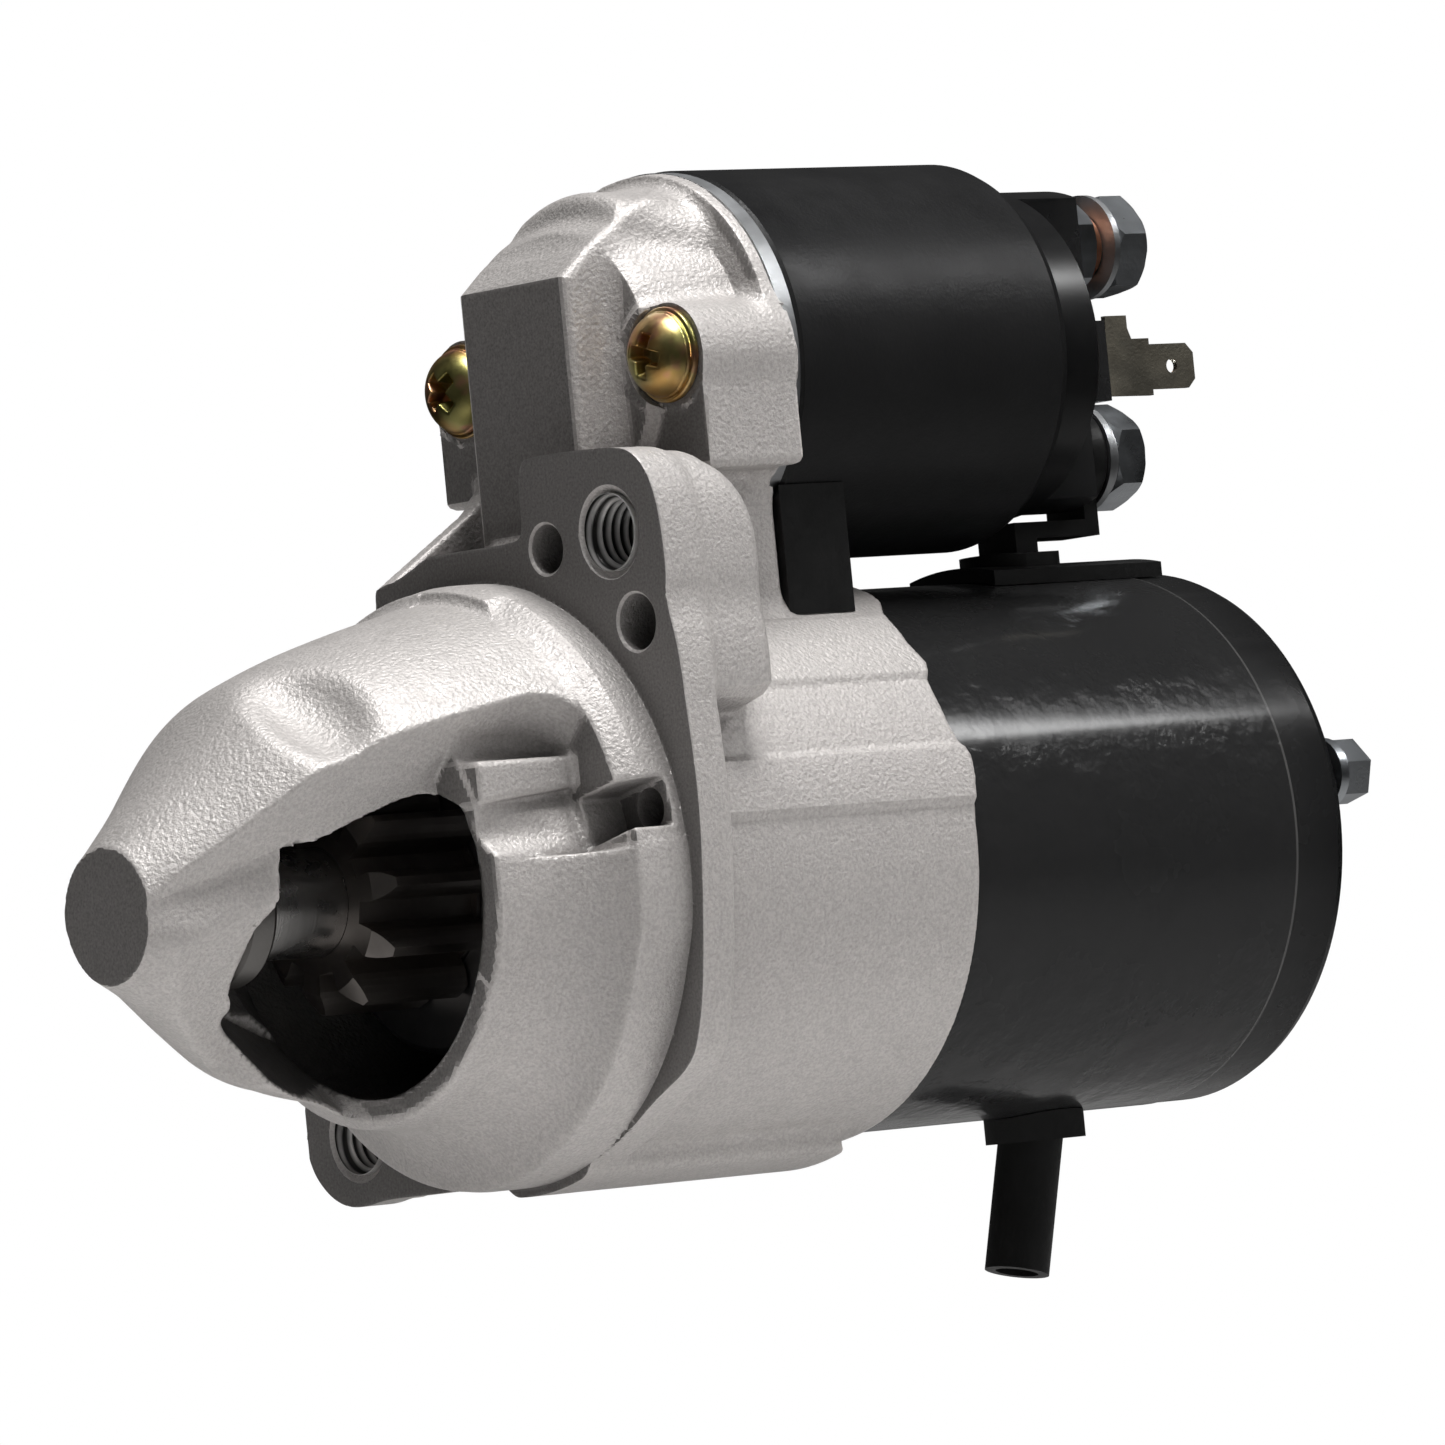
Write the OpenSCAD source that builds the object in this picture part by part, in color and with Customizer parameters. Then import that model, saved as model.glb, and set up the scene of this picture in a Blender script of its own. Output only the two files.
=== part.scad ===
// Gear-reduction starter motor for a car engine.
// X runs along the motor shaft: the pinion end points to -X and the brush end to +X.
// Z points from the motor shaft to the solenoid. The origin is the centre of the
// locating spigot, on the face of the mounting flange. All sizes are in millimetres.

/* [Mounting flange] */
// Radius of the locating spigot ring
spigot_r = 40.5; // [40:0.1:41]
// Height of the spigot ring in front of the flange face
spigot_h = 8.2; // [6:0.1:9]
// Radius of the tapped mounting holes before threading, for M10 x 1.5
tap_r = 4.25; // [4.1:0.05:4.4]
// Radius of the chamfer at the mouth of a mounting hole
tap_mouth_r = 6.3; // [5.5:0.1:6.6]
// Thickness of the flange plate
flange_depth = 6; // [4:0.5:8]
// Depth of the upper mounting lug
lug_depth = 18; // [14:0.5:19]

/* [Drive housing] */
// Radius of the flat disc at the tip of the nose
nose_tip_r = 8.87; // [8:0.1:10]
// Distance of the flat cut on the nose from the shaft axis
nose_cut_offset = 6; // [5:0.5:8]
// Direction of the engine flywheel around the shaft, in degrees
flywheel_angle = 221; // [218:1:224]
// Outer radius of the housing behind the flange
body_r = 38.8; // [38.5:0.1:39.2]

/* [Motor] */
// Outer radius of the steel yoke tube
yoke_r = 37.3; // [37.1:0.1:37.35]
// Rear end of the yoke tube
yoke_x1 = 111.9; // [110:0.1:113]
// Length of the rear cover behind the yoke
cover_len = 10; // [9.5:0.1:11]
// Radius of the armature core
core_r = 26.8; // [25:0.1:27]
// Number of armature slots
core_slots = 16; // [12:2:20]

/* [Reduction gear] */
// Module of the planetary gear teeth
gear_module = 1.25; // [1.2:0.01:1.25]
// Teeth on the sun gear
sun_teeth = 12; // [12]
// Teeth on each planet gear
planet_teeth = 15; // [15]
// Teeth inside the ring gear
ring_teeth = 42; // [42]

/* [Drive] */
// Teeth on the drive pinion
pinion_teeth = 10; // [10]
// Module of the pinion teeth
pinion_module = 2.54; // [2.5:0.01:2.54]
// Forward end of the pinion at rest
pinion_x0 = -31; // [-31.5:0.1:-30.5]
// Radius of the front part of the output shaft
shaft_r = 7.2; // [7:0.05:7.2]
// Radius of the overrunning clutch housing
clutch_r = 21.5; // [20:0.5:22]

/* [Solenoid] */
// Height of the solenoid axis above the motor shaft
solenoid_z = 68.9; // [68.5:0.1:69.5]
// Outer radius of the solenoid can
can_r = 27.06; // [26.8:0.01:27.2]
// Rear end of the solenoid can
can_x1 = 88.2; // [87.5:0.1:89]
// Radius of the plastic terminal cap
cap_r = 23; // [22.5:0.1:23.2]
// Height of each terminal stud above and below the solenoid axis
stud_dz = 14.9; // [14.5:0.1:15.1]

/* [Hidden] */
NODES = ["drive_housing", "front_bush", "lever_pivot_pin", "lever_seal", "shift_lever",
  "output_shaft", "planet_pins", "planet_gear_a", "planet_gear_b", "planet_gear_c",
  "pilot_bush", "stop_collar", "stop_ring", "pinion_gear", "clutch_housing", "clutch_cover",
  "clutch_rollers", "drive_sleeve", "meshing_spring", "shift_collar", "collar_ring",
  "centre_bracket", "centre_bush", "ring_gear", "armature_plate", "yoke_tube", "magnets",
  "armature_shaft", "armature_core", "armature_windings", "commutator", "rear_bearing",
  "rear_cover", "brush_plate", "brushes", "brush_springs", "brush_plate_screws",
  "through_bolts", "lead_grommet", "motor_lead", "drain_tube", "solenoid_case",
  "solenoid_front_plate", "solenoid_coil", "coil_bobbin", "fixed_core", "plunger",
  "plunger_hook", "return_spring", "contact_rod", "contact_disc", "contact_spring",
  "solenoid_cap", "battery_stud", "motor_stud", "terminal_nuts", "terminal_washers",
  "terminal_sleeve", "spade_terminal", "solenoid_screws"];
node = "all";

aluminium = "#b9b4ae";
black = "#1c1c1d";
steel = "#8d8f92";
zinc = "#c3c8cc";
bronze = "#b98a4a";
winding_copper = "#a5542a";
contact_copper = "#b86b3c";
stud_copper = "#c46a45";
spring_steel = "#9b9ea1";

// Through bolts, and the brush plate screws a quarter turn from them
bolt_circle_r = 32.4;
bolt_angles = [169, 349];
cover_screw_circle_r = 24;
cover_screw_angles = [for (a = bolt_angles) a - 90];

// Shift lever, turned back by half of its swing at rest
pivot_x = 25;
pivot_r = 3;
drive_per_plunger = 1.3;   // travel ratio of the lever
plunger_travel = 10;
upper_arm = solenoid_z / (1 + drive_per_plunger);
lower_arm = solenoid_z - upper_arm;
pivot_z = lower_arm;
half_swing = asin(plunger_travel / 2 / upper_arm);
hook_x = pivot_x - upper_arm * sin(half_swing);

// Planetary gear
planet_circle_r = gear_module * (sun_teeth + planet_teeth) / 2;
planet_angles = [90, 210, 330];
planet_pin_r = 3;
pressure_angle = 20;

// Motor
cover_x1 = yoke_x1 + cover_len;
yoke_bore_r = 35;
insert_r = yoke_bore_r - 0.1;   // discs that fit inside the yoke and housing
lead_x = 97;
drain_x = 91.4;

// Solenoid
screw_y = 22;
can_bore_r = 24.8;
plug_r = can_bore_r - 0.1;      // parts that fit in the can
stud_r = 4;
nut_bore_r = stud_r + 0.03;
spade_y = -17;

// ---- Helpers: shapes -----------------------------------------------------------
// Most run along X, from x0 to x1
module rod(x0, x1, r) translate([x0, 0, 0]) rotate([0, 90, 0])
  cylinder(h = x1 - x0, r = r, $fn = 96);
module cone(x0, x1, r0, r1) translate([x0, 0, 0]) rotate([0, 90, 0])
  cylinder(h = x1 - x0, r1 = r0, r2 = r1, $fn = 96);
module tube(x0, x1, outer_r, inner_r) difference() {
  rod(x0, x1, outer_r);
  rod(x0 - 1, x1 + 1, inner_r);
}
module hex_rod(x0, x1, across_flats, turn) translate([x0, 0, 0])
  rotate([turn, 0, 0]) rotate([0, 90, 0])
  cylinder(h = x1 - x0, r = across_flats / sqrt(3), $fn = 6);
// Solid of revolution about X from [x, r] points
module lathe(points) rotate([0, 90, 0]) rotate_extrude($fn = 96)
  polygon([for (p = points) [p[1], p[0]]]);
// Prism along X from [y, z] points
module prism_x(x0, x1, points) translate([x0, 0, 0]) rotate([90, 0, 90])
  linear_extrude(x1 - x0) polygon(points);
// Prism along Y from [x, z] points, centred on y = 0
module prism_y(width, points) translate([0, width / 2, 0]) rotate([90, 0, 0])
  linear_extrude(width) polygon(points);
module box(x0, x1, y0, y1, z0, z1) translate([x0, y0, z0])
  cube([x1 - x0, y1 - y0, z1 - z0]);
// A box and its mirror image on the -Y side
module box_pair(x0, x1, y0, y1, z0, z1) {
  box(x0, x1, y0, y1, z0, z1);
  box(x0, x1, -y1, -y0, z0, z1);
}
// Pie slice between two angles; side and tip are the reach of its edges and its middle
module sector(x0, x1, a0, a1, side = 70, tip = 84) {
  mid = (a0 + a1) / 2;
  prism_x(x0, x1, [[0, 0], side * [cos(a0), sin(a0)], tip * [cos(mid), sin(mid)],
    side * [cos(a1), sin(a1)]]);
}
// Cylinder along Y, centred on y = 0
module rod_y(width, r, sides) rotate([90, 0, 0]) translate([0, 0, -width / 2])
  cylinder(h = width, r = r, $fn = sides);
// Cylinder along Z
module post(x, z0, z1, r, sides = 48) translate([x, 0, z0])
  cylinder(h = z1 - z0, r = r, $fn = sides);
module cross_slot(x0, x1, half_len, half_width) for (a = [0, 90])
  rotate([a, 0, 0]) box(x0, x1, -half_len, half_len, -half_width, half_width);

// Coil spring of round wire
module spring(x0, x1, coil_r, wire_r, turns, steps = 16, sides = 6) {
  n = turns * steps;
  pitch_len = x1 - x0 - 2 * wire_r;
  points = [for (i = [0:n]) for (j = [0:sides - 1])
    let(a = i * 360 / steps, b = j * 360 / sides, r = coil_r + wire_r * cos(b))
    [x0 + wire_r + pitch_len * i / n + wire_r * sin(b), r * cos(a), r * sin(a)]];
  faces = concat(
    [[for (j = [0:sides - 1]) j]],
    [[for (j = [sides - 1:-1:0]) n * sides + j]],
    [for (i = [0:n - 1]) for (j = [0:sides - 1])
      let(a = i * sides + j, b = i * sides + (j + 1) % sides) [a, a + sides, b + sides, b]]);
  polyhedron(points = points, faces = faces, convexity = 8);
}

// ---- Helpers: places -----------------------------------------------------------
module at(y, z) translate([0, y, z]) children();
module at_polar(r, angles) for (a = angles) at(r * cos(a), r * sin(a)) children();
module around(count) for (i = [0:count - 1]) rotate([i * 360 / count, 0, 0]) children();
module at_poles() rotate([34, 0, 0]) around(4) children();
module at_bolts() at_polar(bolt_circle_r, bolt_angles) children();
module at_cover_screws() at_polar(cover_screw_circle_r, cover_screw_angles) children();
module at_solenoid() at(0, solenoid_z) children();
module at_solenoid_screws() for (side = [-1, 1]) at(side * screw_y, solenoid_z) children();
// side is 1 for the battery stud, -1 for the motor stud
module at_stud(side) at(0, solenoid_z + side * stud_dz) children();
module toward_flywheel() rotate([flywheel_angle, 0, 0]) children();

// ---- Helpers: involute gears ---------------------------------------------------
function involute_angle(r, base_r) =
  r <= base_r ? 0 : let(a = acos(base_r / r)) tan(a) * 180 / PI - a;
// Half of the angle a tooth fills at radius r
function half_tooth(r, teeth, pitch_r, base_r, backlash) =
  90 / teeth - backlash / pitch_r * 180 / PI
  + involute_angle(pitch_r, base_r) - involute_angle(r, base_r);
// [y, z] outline with a tooth centred on start; addendum and dedendum are in modules
function gear_outline(teeth, tooth_module, addendum, dedendum, backlash, start) =
  let(pitch_r = tooth_module * teeth / 2,
    base_r = pitch_r * cos(pressure_angle),
    root_r = pitch_r - dedendum * tooth_module,
    tip_r = pitch_r + addendum * tooth_module,
    flank_r = max(base_r, root_r + 0.02),
    radii = concat([root_r], [for (k = [0:4]) flank_r + (tip_r - flank_r) * k / 4]))
  [for (i = [0:teeth - 1]) for (side = [-1, 1]) for (k = [0:5])
    let(r = radii[side < 0 ? k : 5 - k],
      a = start + i * 360 / teeth + side * half_tooth(r, teeth, pitch_r, base_r, backlash))
    [r * cos(a), r * sin(a)]];

// ---- Drive end housing ---------------------------------------------------------
nose_x0 = -65.3;
window_x1 = -24.5;
seat_x = 36.8;         // rear face of the tower
slot_half_y = 9.4;     // lever space inside the tower
groove_angle = 165;
vent_angle = 167.6;

// Upper and lower halves of the nose, [x, r]
dome = [[nose_x0, 0], [nose_x0, nose_tip_r], [-62, 11.9], [-58, 15.2], [-54, 18.7],
  [-50, 22.5], [-45, 27.1], [-42.5, 28.9], [-40, 30.1], [-32, 33], [-24, 35.2],
  [-16, 37.1], [-8.2, 38.5], [1, 39], [1, 0]];
low_nose = [[nose_x0, 0], [nose_x0, nose_tip_r], [-60, 11.9], [-55, 15.7], [-50, 19.4],
  [-45, 22.9], [-42.5, 24], [-32.5, 26.5], [-30.4, 27], [-25, 29.6], [-22, 30.4],
  [-14, 30.6], [-11, 31.6], [-9.2, 33.5], [-8.2, 36.5], [1, 36.5], [1, 0]];
// Space inside the housing, [x, r]
cavity = [[-61.6, 0], [-61.6, 7.6], [-60.7, 7.6], [-60.7, 9], [-50.4, 9], [-50.4, 12],
  [-46.5, 16], [-34, 18.5], [-29, 22], [-24.3, 26], [-8, 26.5], [6, 28], [14, 29.4],
  [38.2, 29.4], [38.2, yoke_bore_r], [50.6, yoke_bore_r], [50.6, yoke_r + 0.05],
  [62, yoke_r + 0.05], [62, 0]];
// Side opening for the flywheel teeth, [x, across] in the plane that faces the flywheel
window = [[-50, -6], [-47, -13], [-40.5, -17.7], [-30, -22.8], [window_x1, -24.4],
  [window_x1, 22.2], [-29.5, 20.8], [-35, 17.5], [-39, 16], [-44.5, 13.2], [-47.3, 9.5],
  [-47.3, 4], [-50, 3]];
// Edge shared by the flange and the upper lug, then the rest of each outline, [y, z]
lug_edge = [[-13.2, 52.3], [-13.8, 55], [-15, 56], [-33, 55.4], [-36.5, 54.4],
  [-39, 51.8], [-40.6, 47], [-41.1, 39], [-40.3, 35]];
flange_outline = concat(lug_edge, [[-42.5, 28.1], [-43.4, 17.4], [-43.9, 8],
  [-43.1, -2.3], [-41.3, -15.4], [-39.5, -21.8], [-37.2, -26.3], [-28.9, -30.4],
  [-22, -34.6], [-15.6, -37.3], [-7.5, -39], [1.2, -39.7], [27.4, -40.1], [37, -40.3],
  [40.7, -39.5], [43.7, -37.4], [45.6, -35.2], [46.6, -32], [46.5, -27], [44.5, -22],
  [42.8, -12], [42.4, 0], [41, 11], [38, 19], [32, 28], [24, 36], [20.1, 38.5],
  [19.5, 42.2], [13.4, 43.4], [7.6, 45.2], [-8.6, 44.9], [-13.2, 45.6]]);
lug_outline = concat([[-13.2, 20]], lug_edge, [[-41.5, 28], [-41, 20]]);
// Casting lands: start angle, end angle, rear x, added radius
lands = [[123.3, 143.3, 53.7, 0.5], [143.3, 159.8, 52.5, 0.2], [159.8, 171.5, 53.5, 0.5],
  [96, 118, 58, 0], [62, 84, 58, 0]];
// Tapped mounting holes: y, z, depth
tapped_holes = [[-30.7, 44.9, 30], [35.4, -31.3, 20]];
// Plain flange holes: y, z, radius
plain_holes = [[-17.2, 44, 3.3], [-34.5, 32.6, 3.75], [25, -31.4, 3.15]];

module nose() {
  difference() {
    lathe(dome);
    toward_flywheel() box(-70, 3, nose_cut_offset, 60, -60, 60);
    rotate([10, 0, 0]) box(-70, 3, -60, 60, -60, -9);
  }
  difference() {
    lathe(low_nose);
    toward_flywheel() {
      box(-66, window_x1, nose_cut_offset, 60, -60, -8);
      box(-66, -46, 11, 60, -60, 60);
    }
  }
  // spigot, trimmed by an offset circle
  intersection() {
    rod(-spigot_h, 1, spigot_r);
    at(-0.8, 5.5) rod(-spigot_h - 1, 2, spigot_r + 0.6);
  }
}

module upper_lug() intersection() {
  prism_x(0, lug_depth, lug_outline);
  prism_y(100, [[-1, 10], [lug_depth, 10], [lug_depth, 42], [lug_depth - 0.8, 47.2],
    [lug_depth - 2.8, 51.4], [12, 54.6], [11, 60], [-1, 60]]);
}

module tower() {
  // neck over the top of the lever
  intersection() {
    prism_y(23.2, [[12.2, 50], [12.2, 81], [16, 84.2], [20, 87], [24, 89.2], [28, 91],
      [32, 92.3], [seat_x, 93.2], [seat_x, 50]]);
    at_solenoid() lathe([[12, 0], [12, 16.6], [16, 19.5], [20, 22.4], [24, 24.2],
      [28, 24.7], [seat_x, 24.8], [seat_x, 0]]);
    box(10, 40, -20, 20, solenoid_z - 1, 100);
  }
  box(12.2, seat_x, -12.4, 12.4, 28, solenoid_z);
  // crown beside the neck
  intersection() {
    at_solenoid() lathe([[22, 0], [22, 24], [30, 24.4], [seat_x, 24.4], [seat_x, 0]]);
    at(0, 83.6) linear_extrude(12) polygon([[23, -10.5], [33, -16.2], [36.7, -16.2],
      [36.7, 16.2], [33, 16.2], [23, 10.5]]);
  }
  // flare out to the solenoid seat
  at_solenoid() lathe([[19, 0], [19, 12], [20, 18.6], [22, 19.6], [34, 22.2],
    [34.8, 24.6], [35.1, 26.4], [seat_x, 26.6], [seat_x, 0]]);
  // screw bosses and the skirt that joins them to the body
  at_solenoid_screws() rod(20.5, seat_x, 7);
  box_pair(20.5, seat_x, 12, 28.4, 53, solenoid_z);
  box(18, 38.5, -20, 20, 25, 54);
}

module body_shell() {
  rod(0, 52.5, body_r);
  for (land = lands) intersection() {
    rod(6, land[2], body_r + land[3]);
    sector(5, 60, land[0], land[1]);
  }
  // rib along the bottom
  intersection() {
    rod(4, 45.5, 41.6);
    sector(3, 60, 250, 275);
  }
}

// Lever space inside the tower, open to the gear space below
module lever_space() {
  box(15.2, 37.8, -slot_half_y, slot_half_y, 20, solenoid_z);
  intersection() {
    at_solenoid() lathe([[15.2, 0], [15.2, 10], [19, 15], [30, 18.4], [40, 18.4], [40, 0]]);
    box(10, 45, -slot_half_y, slot_half_y, 50, 100);
  }
  at_solenoid() rod(26, 40, 12);
  box(36, 40, -slot_half_y, slot_half_y, 36, solenoid_z);
}

module drive_housing() color(aluminium) difference() {
  union() {
    nose();
    prism_x(0, flange_depth, flange_outline);
    upper_lug();
    // lower mounting lug
    at(36.7, -30.7) rod(0, 12, 9.6);
    box(0, 12, 20, 38, -38, -22);
    body_shell();
    tower();
    // web from the flange to the foot of the tower
    prism_x(flange_depth - 1, 14, [[20.1, 36], [20.1, 41.5], [12.4, 47], [-13.5, 47],
      [-13.5, 30], [20.1, 30]]);
  }
  lathe(cavity);
  toward_flywheel() rotate([-90, 0, 0]) linear_extrude(60) polygon(window);
  // groove, notch and vent hole beside the pinion chamber
  rotate([groove_angle, 0, 0]) box(-26, -1, 27.3, 34, -1.5, 1.5);
  rotate([vent_angle, 0, 0]) box(-12, -1.6, 33.2, 42, -3.3, 3.4);
  at_polar(36.6, [vent_angle]) rod(-12, 7, 2.7);
  lever_space();
  // seat of the solenoid front plate
  at_solenoid() rod(seat_x + 0.05, 60, can_r + 0.3);
  translate([pivot_x, 0, pivot_z]) rod_y(24.6, pivot_r, 64);
  // solenoid screw holes, with the seats of the heads
  at_solenoid_screws() {
    rod(15, 45, 3.3);
    rod(10, 20.5, 6.7);
  }
  // pocket between the web and the tower
  prism_x(-1, 9, [[-8.6, 46], [7, 46], [1, 60], [-8.6, 60]]);
  for (hole = tapped_holes) at(hole[0], hole[1]) {
    rod(-1, hole[2], tap_r);
    cone(-0.01, tap_mouth_r - tap_r, tap_mouth_r, tap_r - 0.01);
  }
  for (hole = plain_holes) at(hole[0], hole[1]) rod(-1, 10, hole[2]);
  // through bolt threads
  at_bolts() rod(22, 52, 2.5);
}

module front_bush() color(bronze) tube(-60.6, -50.6, 8.98, shaft_r + 0.06);

module lever_pivot_pin() color(steel)
  translate([pivot_x, 0, pivot_z]) rod_y(24.4, pivot_r - 0.02, 64);

module lever_seal() color(black) difference() {
  box(38.7, 50.2, -20.5, 20.5, 30, 51.5);
  at_solenoid() rod(30, 60, can_r + 0.25);
  rod(30, 60, body_r + 0.2);
}

// ---- Shift lever: fork at the bottom, tongue at the top, origin on the pivot ----
lever_half_x = 3.6;
fork_half_y = 20.4;

module shift_lever() color("#55575a")
  translate([pivot_x, 0, pivot_z]) rotate([0, -half_swing, 0]) difference() {
    union() {
      rod_y(14, 6.2, 64);
      box(-4, 4, -6.5, 6.5, -15, 8);
      box(-3.4, 3.4, -4.4, 4.4, 6, upper_arm - 7.2);
      box(-1.5, 1.5, -2.4, 2.4, upper_arm - 8, upper_arm);
      at(0, upper_arm) rod_y(4.8, 2.5, 64);
      // arch of the fork over the drive
      difference() {
        intersection() {
          at(0, -lower_arm) rod(-lever_half_x, lever_half_x, 27.9);
          box(-lever_half_x, lever_half_x, -fork_half_y, fork_half_y, 2 - lower_arm, 0);
        }
        at(0, -lower_arm) rod(-5, 5, 18.3);
      }
      // fork ends and their pins
      box_pair(-lever_half_x, lever_half_x, 17.6, fork_half_y, -lower_arm - 4, 8 - lower_arm);
      for (side = [-1, 1]) at(side * 15.6, -lower_arm) rod_y(4.4, 2.5, 48);
    }
    rod_y(18, pivot_r + 0.05, 64);
  }

// ---- Output shaft and planet carrier --------------------------------------------
// Round shaft of root_r with six splines out to tip_r
module splines(x0, x1, root_r, tip_r, half_width) {
  rod(x0, x1, root_r);
  around(6) intersection() {
    rod(x0 + 0.4, x1 - 0.4, tip_r);
    box(x0, x1, root_r - 1, tip_r + 1, -half_width, half_width);
  }
}

module output_shaft() color(steel) difference() {
  union() {
    rod(-59.8, 12, shaft_r);
    cone(-60.6, -59.8, shaft_r - 0.8, shaft_r);
    splines(10, 37.3, 8.6, 9.9, 1.6);
    rod(37.2, 43, 10.4);
    rod(42.3, 44.7, 22.6);   // planet carrier
  }
  tube(-48.4, -47.2, 12, 6.4);
  rod(37.8, 50, 6.45);
  at_polar(planet_circle_r, planet_angles) rod(40, 50, planet_pin_r);
}

module planet_pins() color(zinc)
  at_polar(planet_circle_r, planet_angles) rod(42.4, 51.6, planet_pin_r - 0.02);

// Planet turned so that its teeth mesh with a sun tooth centred on angle 0
module planet(angle) {
  start = angle * (1 + sun_teeth / planet_teeth) + 180 - 180 / planet_teeth;
  color("#9a9da0") at_polar(planet_circle_r, [angle]) difference() {
    prism_x(45.2, 51.2, gear_outline(planet_teeth, gear_module, addendum = 0.8,
      dedendum = 1.15, backlash = 0.04, start = start));
    rod(44, 53, planet_pin_r + 0.04);
  }
}
module planet_gear_a() planet(planet_angles[0]);
module planet_gear_b() planet(planet_angles[1]);
module planet_gear_c() planet(planet_angles[2]);

module pilot_bush() color(bronze) tube(37.9, 44.6, 6.43, 4.56);

module stop_collar() color(steel) difference() {
  lathe([[-49.9, shaft_r + 0.02], [-49.9, 9.6], [-49.1, 10.5], [-45.8, 10.5], [-45, 9.9],
    [-45, shaft_r + 0.02]]);
  rod(-51, -46.9, 8.6);
}

module stop_ring() color(zinc) difference() {
  tube(-48.35, -47.25, 8.4, 6.45);
  box(-49, -46, 0, 12, -1.2, 1.2);
}

// ---- Drive: pinion, overrunning clutch, sleeve, collar --------------------------
pinion_x1 = -12;
pinion_hub_r = 10.9;
hub_bore_r = pinion_hub_r + 0.2;
roller_count = 5;
roller_r = 2.1;
sleeve_r = 12;

module pinion_gear() color("#6f6d6a") difference() {
  union() {
    intersection() {
      prism_x(pinion_x0, pinion_x1, gear_outline(pinion_teeth, pinion_module,
        addendum = 1, dedendum = 1.2, backlash = 0.12, start = 30.5));
      lathe([[pinion_x0, 0], [pinion_x0, 12.4], [pinion_x0 + 2.2, 15.3],
        [pinion_x1 - 1, 15.3], [pinion_x1, 14.4], [pinion_x1, 0]]);
    }
    rod(pinion_x1 - 0.2, 5.2, pinion_hub_r);
  }
  rod(-40, 10, shaft_r + 0.07);
}

module clutch_housing() color("#77797c") difference() {
  lathe([[-10, 0], [-10, clutch_r], [6.5, clutch_r], [9, clutch_r - 2.5], [9, 0]]);
  rod(-11, 5.6, hub_bore_r);
  // roller pockets
  around(roller_count) {
    at(13.35, 0) rod(-11, 5.6, 2.5);
    box(-11, 5.6, 10, 15.2, 0, 6);
  }
  rod(5, 12, sleeve_r + 0.02);
}

module clutch_cover() color(zinc) difference() {
  lathe([[-11.6, 0], [-11.6, clutch_r - 0.8], [-10.9, clutch_r], [-10.1, clutch_r],
    [-10.1, 0]]);
  rod(-13, -9, hub_bore_r);
}

module clutch_rollers() color(steel) around(roller_count) at(13.1, 0) rod(-9.8, 5.3, roller_r);

module drive_sleeve() color("#6b6d70") difference() {
  lathe([[5.7, 0], [5.7, sleeve_r], [37, sleeve_r], [37, 0]]);
  rod(0, 20, 10.3);
  splines(18, 40, 8.7, 10.05, 1.7);
  tube(35.8, 36.6, 14, 11.3);
}

module meshing_spring() color("#4c4e50")
  spring(9.2, 26.9, coil_r = 14.2, wire_r = 1.15, turns = 4);

module shift_collar() color("#33312e") lathe([[27.1, 12.06], [27.1, 17.2], [28.7, 17.2],
  [28.7, 13.2], [34.3, 13.2], [34.3, 17.2], [35.7, 17.2], [35.7, 12.06]]);

module collar_ring() color(zinc) difference() {
  tube(35.84, 36.56, 13.6, 11.34);
  box(35, 37.5, 0, 16, -1.5, 1.5);
}

// ---- Reduction gear -------------------------------------------------------------
bolt_clear_r = 2.8;

module centre_bracket() color("#a8a6a2") difference() {
  union() {
    rod(38.3, 41.6, yoke_bore_r - 0.05);
    rod(37.6, 42, 15);
  }
  rod(30, 50, 12.2);
  at_bolts() rod(30, 50, bolt_clear_r);
}

module centre_bush() color(bronze) tube(37.7, 41.9, 12.18, 10.46);

module ring_gear() color("#2b2a29") difference() {
  rod(41.8, 52, insert_r);
  rod(40, 45, 24.8);
  prism_x(40, 54, gear_outline(ring_teeth, gear_module, addendum = 1.15,
    dedendum = 0.7, backlash = -0.04, start = 180 / ring_teeth));
  at_bolts() rod(30, 60, bolt_clear_r);
}

module armature_plate() color(zinc) difference() {
  rod(52.2, 53.4, insert_r);
  rod(50, 55, 9.3);
  at_bolts() rod(30, 60, bolt_clear_r);
}

// ---- Electric motor -------------------------------------------------------------
core_x0 = 62;
core_x1 = 97;
armature_shaft_r = 7;
core_bore_r = armature_shaft_r + 0.02;
commutator_r = 14.5;
commutator_bars = 22;

module yoke_tube() color(black) difference() {
  tube(50.8, yoke_x1, yoke_r, yoke_bore_r);
  post(lead_x, 30, 42, 5.3);
  post(drain_x, -42, -30, 3.6);
}

module magnets() color("#3a3a3c") at_poles() intersection() {
  tube(60, 99, yoke_bore_r - 0.05, 27.5);
  sector(59, 100, -35, 35, side = 60, tip = 70);
}

module armature_shaft() color(steel) {
  rod(38.4, 45, 4.5);
  prism_x(44.9, 52.1, gear_outline(sun_teeth, gear_module, addendum = 0.8,
    dedendum = 1.15, backlash = 0.04, start = 0));
  rod(52, 55, 8.9);
  rod(54, 111.4, armature_shaft_r);
  rod(111, 123.2, 4.98);
}

// One bar for each armature slot, from radius r0 to r1
module slot_bars(x0, x1, width, r0, r1)
  around(core_slots) box(x0, x1, r0, r1, -width / 2, width / 2);

module armature_core() color("#5f6265") difference() {
  rod(core_x0, core_x1, core_r);
  rod(core_x0 - 2, core_x1 + 2, core_bore_r);
  slot_bars(core_x0 - 2, core_x1 + 2, 3.6, 15, 26);
  slot_bars(core_x0 - 2, core_x1 + 2, 1.8, 25.5, 28);
}

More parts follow.
